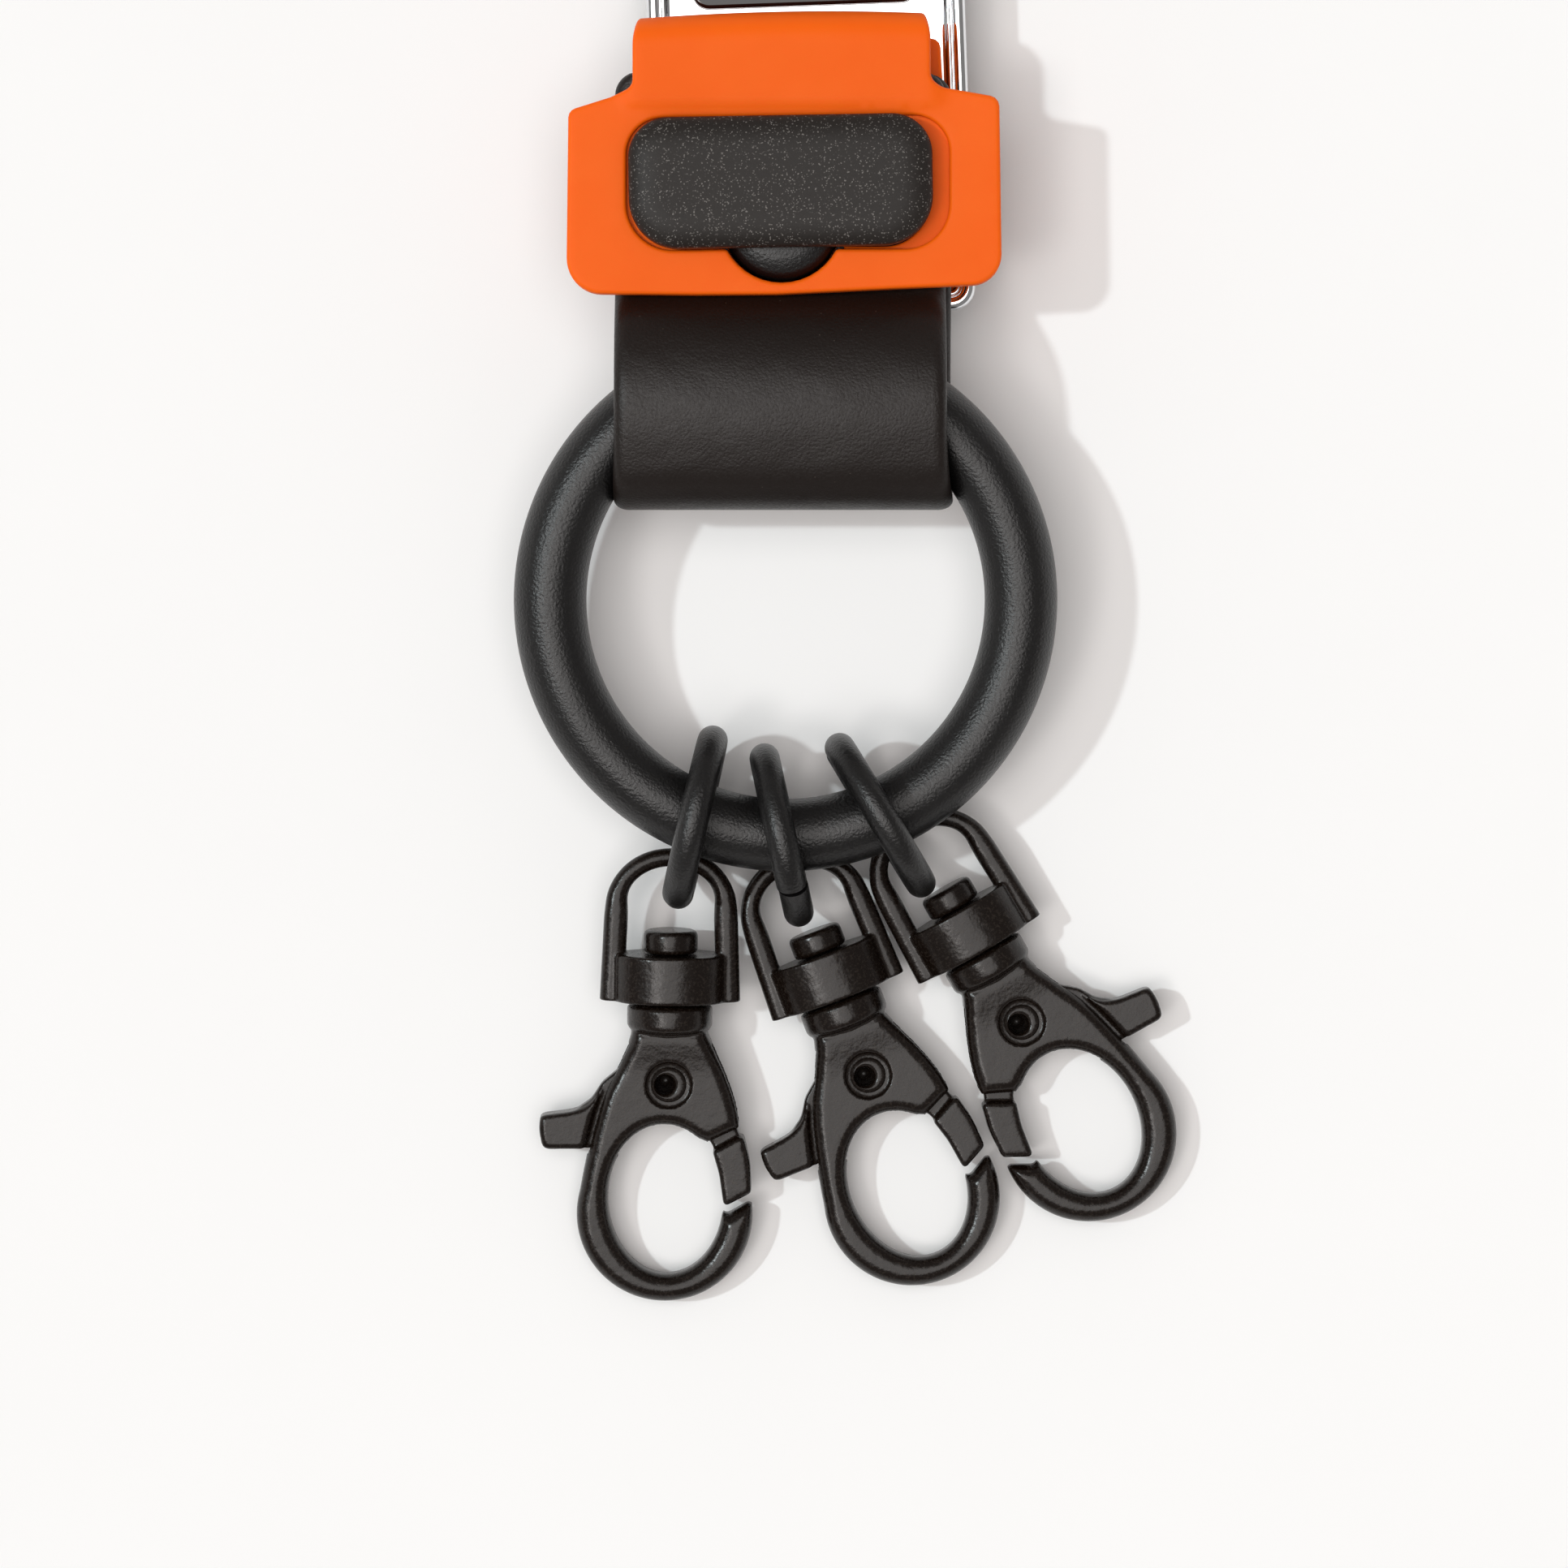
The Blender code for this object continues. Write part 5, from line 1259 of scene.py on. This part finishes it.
def cast(name, shape, cutters, matrix, voxel, passes):
    """Closed shapes that overlap, less their cutters, joined and rounded off into one lacquered casting."""
    item = loose(name, shape)
    tools = [loose(f"{name}_tool", cutter) for cutter in cutters]
    remesh(item, voxel)
    for tool in tools:
        cut(item, tool)
    remesh(item, voxel)
    relax = item.modifiers.new("relax", "SMOOTH")
    relax.factor = 0.5
    relax.iterations = passes
    settle(item, *tools)
    item.data.transform(matrix)
    return dress(item, "clasp_black", 180)


class KEYRING_OT_bails(bpy.types.Operator):
    """Makes the three bails, each cast with its barrel, and their swivel pins"""

    bl_idname = "key_ring.bails"
    bl_label = "Bails"

    def execute(self, context):
        for number in CLASP_NUMBERS:
            place = chain_frame(number)
            bail = cast(f"bail_{number}_cast", bail_shape(), [], place, BAIL_GRAIN * MM, passes=4)
            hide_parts(f"bail_{number}")
            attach(bail, f"bail_{number}")
            shape = moved(turned(round_off(PIN_PROFILE, 0.55)), ALONG_Y)
            pin = to_piece(f"swivel_pin_{number}_turned", shape, place, "clasp_black", 45)
            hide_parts(f"swivel_pin_{number}")
            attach(pin, f"clasp_{number}")
        return {"FINISHED"}


# Clasps

RIVET_Y = -8.83
AT_RIVET = Matrix.Translation((0, RIVET_Y, 0))
# The rivet's bore, with a sunk seat at each end
RIVET_BORE = (
    (0, 3), (1.95, 3), (1.95, 1.35), (1.3, 1.35), (1.3, -1.35), (1.95, -1.35), (1.95, -3), (0, -3),
)
RIVET_PROFILE = (
    (0, -1.5), (0.45, -1.1), (0.8, -0.1), (0.82, 1.3), (0.9, 1.5), (1.04, 1.62), (1.24, 1.58), (1.4, 1.48),
    (1.48, 1.38), (1.2, 1.3), (1.2, -1.3), (1.48, -1.38), (1.4, -1.5), (1.24, -1.62), (1.02, -1.68),
    (0, -1.68),
)
# Rolling the tube's end over has pushed its hole to one side, out to where its wall's rim begins and ends
RIVET_HOLE_ASIDE = 0.3
RIVET_RIM = (0.85, 1.3)
COLLAR_PROFILE = (
    (0, -2.1), (3.0, -2.1), (3.3, -2.3), (3.55, -2.36), (3.55, -3.9), (3.42, -4.2), (3.1, -4.32), (2.0, -4.6),
    (0, -4.6),
)
PIN_SEAT = ((0, -1.0), (1.4, -1.0), (1.4, -4.1), (0, -4.1))
BODY_HALF = 1.7
BODY_EDGE = (1.12, 1.3)
BODY_RIGHT = (
    (3.05, -4.0, 0.2), (3.22, -4.7, 2), (4.01, -6.3, 8), (4.77, -7.9, 8), (5.4, -9.5, 8), (5.86, -11.1, 6),
    (6.05, -12.5, 0.35), (3.3, -13.8, 0.3),
)
BODY_LEFT = (
    (-7.08, -16.6, 10), (-6.88, -15.54, 10), (-6.43, -13.35, 10), (-5.87, -11.13, 10), (-5.27, -9.35, 10),
    (-4.33, -7.52, 10), (-3.4, -5.46, 4), (-3.2, -4.7, 2), (-3.05, -4.0, 0.2),
)
EYE_CENTRE = (-0.16, -18.62)
EYE_HALF = (4.78, 6.28)
EYE_LEAN = 3.0
EYE_ARC = (54, 350)
HOOK_CENTRE = (-0.217, -19.84)
HOOK_RADIUS = 7.34
HOOK_ARC = (8, -195)
HOOK_TIP = ((4.62, -20.0, 0.35), (7.0, -18.62, 0.3))
NECK_SWELL = 0.18
NECK_SWELL_FROM = (-8.2, -4.4)
# The slot's middle and its size
SLOT_MIDDLE = (0, -10.2, 0)
SLOT_SIZE = (40.0, 9.4, 1.8)
LEVER_HALF = 0.72
LEVER_PLATE = (
    (5.37, -11.52, 0.5), (5.88, -13.0, 0.5), (5.75, -14.77, 0.5), (4.2, -15.2, 0.5), (3.55, -13.7, 0.8),
    (1.36, -11.95, 1.5), (-2.03, -11.95, 2.0), (-4.07, -12.9, 2.0), (-6.5, -14.4, 0.5), (-7.86, -14.3, 0.2),
    (-7.86, -11.25, 0.2), (-6.45, -10.25, 1.5), (-5.56, -8.83, 1.5), (-3.06, -6.7, 1.5), (-1.2, -5.85, 2.0),
    (1.2, -5.85, 2.0), (2.9, -7.3, 2.0),
)
GATE_HALF = 1.5
GATE = (
    (3.69, -14.39, 0.3), (4.28, -16.3, 6), (4.7, -19.1, 0.3), (7.0, -17.85, 0.35), (6.85, -15.4, 8),
    (6.24, -12.98, 0.35),
)
THUMB_HALF = 1.3
THUMB = (
    (-5.5, -8.95, 0.1), (-5.95, -9.95, 2.5), (-6.75, -10.75, 2.5), (-8.0, -11.25, 4), (-10.62, -11.62, 0.55),
    (-10.84, -12.6, 4), (-10.42, -14.45, 0.6), (-7.0, -14.4, 0.25), (-6.75, -13.4, 6), (-6.2, -11.2, 6),
    (-5.62, -9.45, 3),
)
LEVER_POCKET = ((0, 2.2), (2.05, 2.2), (2.05, -0.05), (1.32, -0.05), (1.32, -2.2), (0, -2.2))


def body_shape():
    """The clasp's body from its neck to the tip of its round hook, with the collar."""
    eye = arc_corners(EYE_CENTRE, EYE_HALF, *EYE_ARC, 70, EYE_LEAN)
    hook = arc_corners(HOOK_CENTRE, (HOOK_RADIUS, HOOK_RADIUS), *HOOK_ARC, 70)
    outline = rounded_path(BODY_RIGHT + eye + HOOK_TIP + hook + BODY_LEFT, 0.3)
    shape = pillow(outline, BODY_HALF, *BODY_EDGE, 0.4, 7)
    points = points_of(shape)
    points[:, 2] *= 1 + NECK_SWELL * smooth_rise(points[:, 1], *NECK_SWELL_FROM)
    move_points(shape, points)
    add_shape(shape, moved(turned(round_off(COLLAR_PROFILE, 0.15, 3), 72), ALONG_Y))
    return shape


def lever_shape():
    """The lever: its plate in the slot, the gate that closes the hook and the thumb's pad."""
    shape = pillow(rounded_path(LEVER_PLATE, 0.3), LEVER_HALF, 0.2, 0.2, 0.5, 3)
    add_shape(shape, pillow(rounded_path(GATE, 0.25), GATE_HALF, 0.5, 0.4, 0.4, 5))
    add_shape(shape, pillow(rounded_path(THUMB, 0.25), THUMB_HALF, 0.45, 0.4, 0.4, 5))
    return shape


def body_cutters():
    """The lever's slot, the rivet's bore with its two sunk seats, and the seat of the swivel pin."""
    slot = bmesh.new()
    block = Matrix.Translation(SLOT_MIDDLE) @ Matrix.Diagonal((*SLOT_SIZE, 1))
    bmesh.ops.create_cube(slot, size=1.0, matrix=block)
    return [slot, moved(turned(RIVET_BORE), AT_RIVET), moved(turned(PIN_SEAT, 48), ALONG_Y)]


def rivet_shape():
    """The tubular rivet with its rolled end, at the lever's pivot."""
    shape = turned(round_off(RIVET_PROFILE, 0.12, 3), 56)
    points = points_of(shape)
    points[:, 0] -= RIVET_HOLE_ASIDE * (1 - smooth_rise(np.hypot(points[:, 0], points[:, 1]), *RIVET_RIM))
    move_points(shape, points)
    return moved(shape, AT_RIVET)


class KEYRING_OT_clasps(bpy.types.Operator):
    """Makes the three clasps: cast bodies with sunk rivets, and their levers"""

    bl_idname = "key_ring.clasps"
    bl_label = "Clasps"

    def execute(self, context):
        voxel = sizes().cast_grain
        for number in CLASP_NUMBERS:
            place = chain_frame(number)
            hook = joint_place(f"lever_{number}_pivot")[1]
            side = math.copysign(1.0, -(place.to_3x3().inverted() @ hook).z)
            mirror = place @ Matrix.Diagonal((side, 1, 1, 1))
            body = cast(f"clasp_body_{number}_cast", body_shape(), body_cutters(), mirror, voxel, passes=5)
            pocket = moved(turned(LEVER_POCKET), AT_RIVET)
            lever = cast(f"lever_{number}_cast", lever_shape(), [pocket], mirror, voxel, passes=3)
            if side < 0:
                body.data.flip_normals()
                lever.data.flip_normals()
            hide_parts(f"clasp_body_{number}")
            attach(body, f"clasp_{number}")
            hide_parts(f"lever_{number}")
            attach(lever, f"lever_{number}")
            rivet = to_piece(f"lever_rivet_{number}_rolled", rivet_shape(), place, "clasp_black", 50)
            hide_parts(f"lever_rivet_{number}")
            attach(rivet, f"clasp_{number}")
            refinish(f"lever_spring_{number}", "spring_steel")
        return {"FINISHED"}


class KEYRING_PT_panel(bpy.types.Panel):
    """Lists the pieces of the key ring, with a button for each"""

    bl_label = "Key ring"
    bl_idname = "KEYRING_PT_panel"
    bl_space_type = "VIEW_3D"
    bl_region_type = "UI"
    bl_category = "Key ring"

    def draw(self, context):
        for operator in OPERATORS:
            self.layout.operator(operator.bl_idname)
        for group in (context.scene.key_ring_sizes, context.scene.key_ring_colours):
            for name in group.bl_rna.properties.keys():
                if name not in ("rna_type", "name"):
                    self.layout.prop(group, name)


OPERATORS = (
    KEYRING_OT_stage, KEYRING_OT_clip, KEYRING_OT_latch, KEYRING_OT_peg, KEYRING_OT_strap, KEYRING_OT_rings,
    KEYRING_OT_bails, KEYRING_OT_clasps,
)
CLASSES = (KeyRingSizes, KeyRingColours, *OPERATORS, KEYRING_PT_panel)


def register():
    for item in CLASSES:
        bpy.utils.register_class(item)
    bpy.types.Scene.key_ring_sizes = bpy.props.PointerProperty(type=KeyRingSizes)
    bpy.types.Scene.key_ring_colours = bpy.props.PointerProperty(type=KeyRingColours)


def unregister():
    del bpy.types.Scene.key_ring_sizes
    del bpy.types.Scene.key_ring_colours
    for item in reversed(CLASSES):
        bpy.utils.unregister_class(item)


def main():
    register()
    bpy.ops.key_ring.stage()
    bpy.ops.key_ring.clip()
    bpy.ops.key_ring.latch()
    bpy.ops.key_ring.peg()
    bpy.ops.key_ring.strap()
    bpy.ops.key_ring.rings()
    bpy.ops.key_ring.bails()
    bpy.ops.key_ring.clasps()


if __name__ == "__main__":
    main()
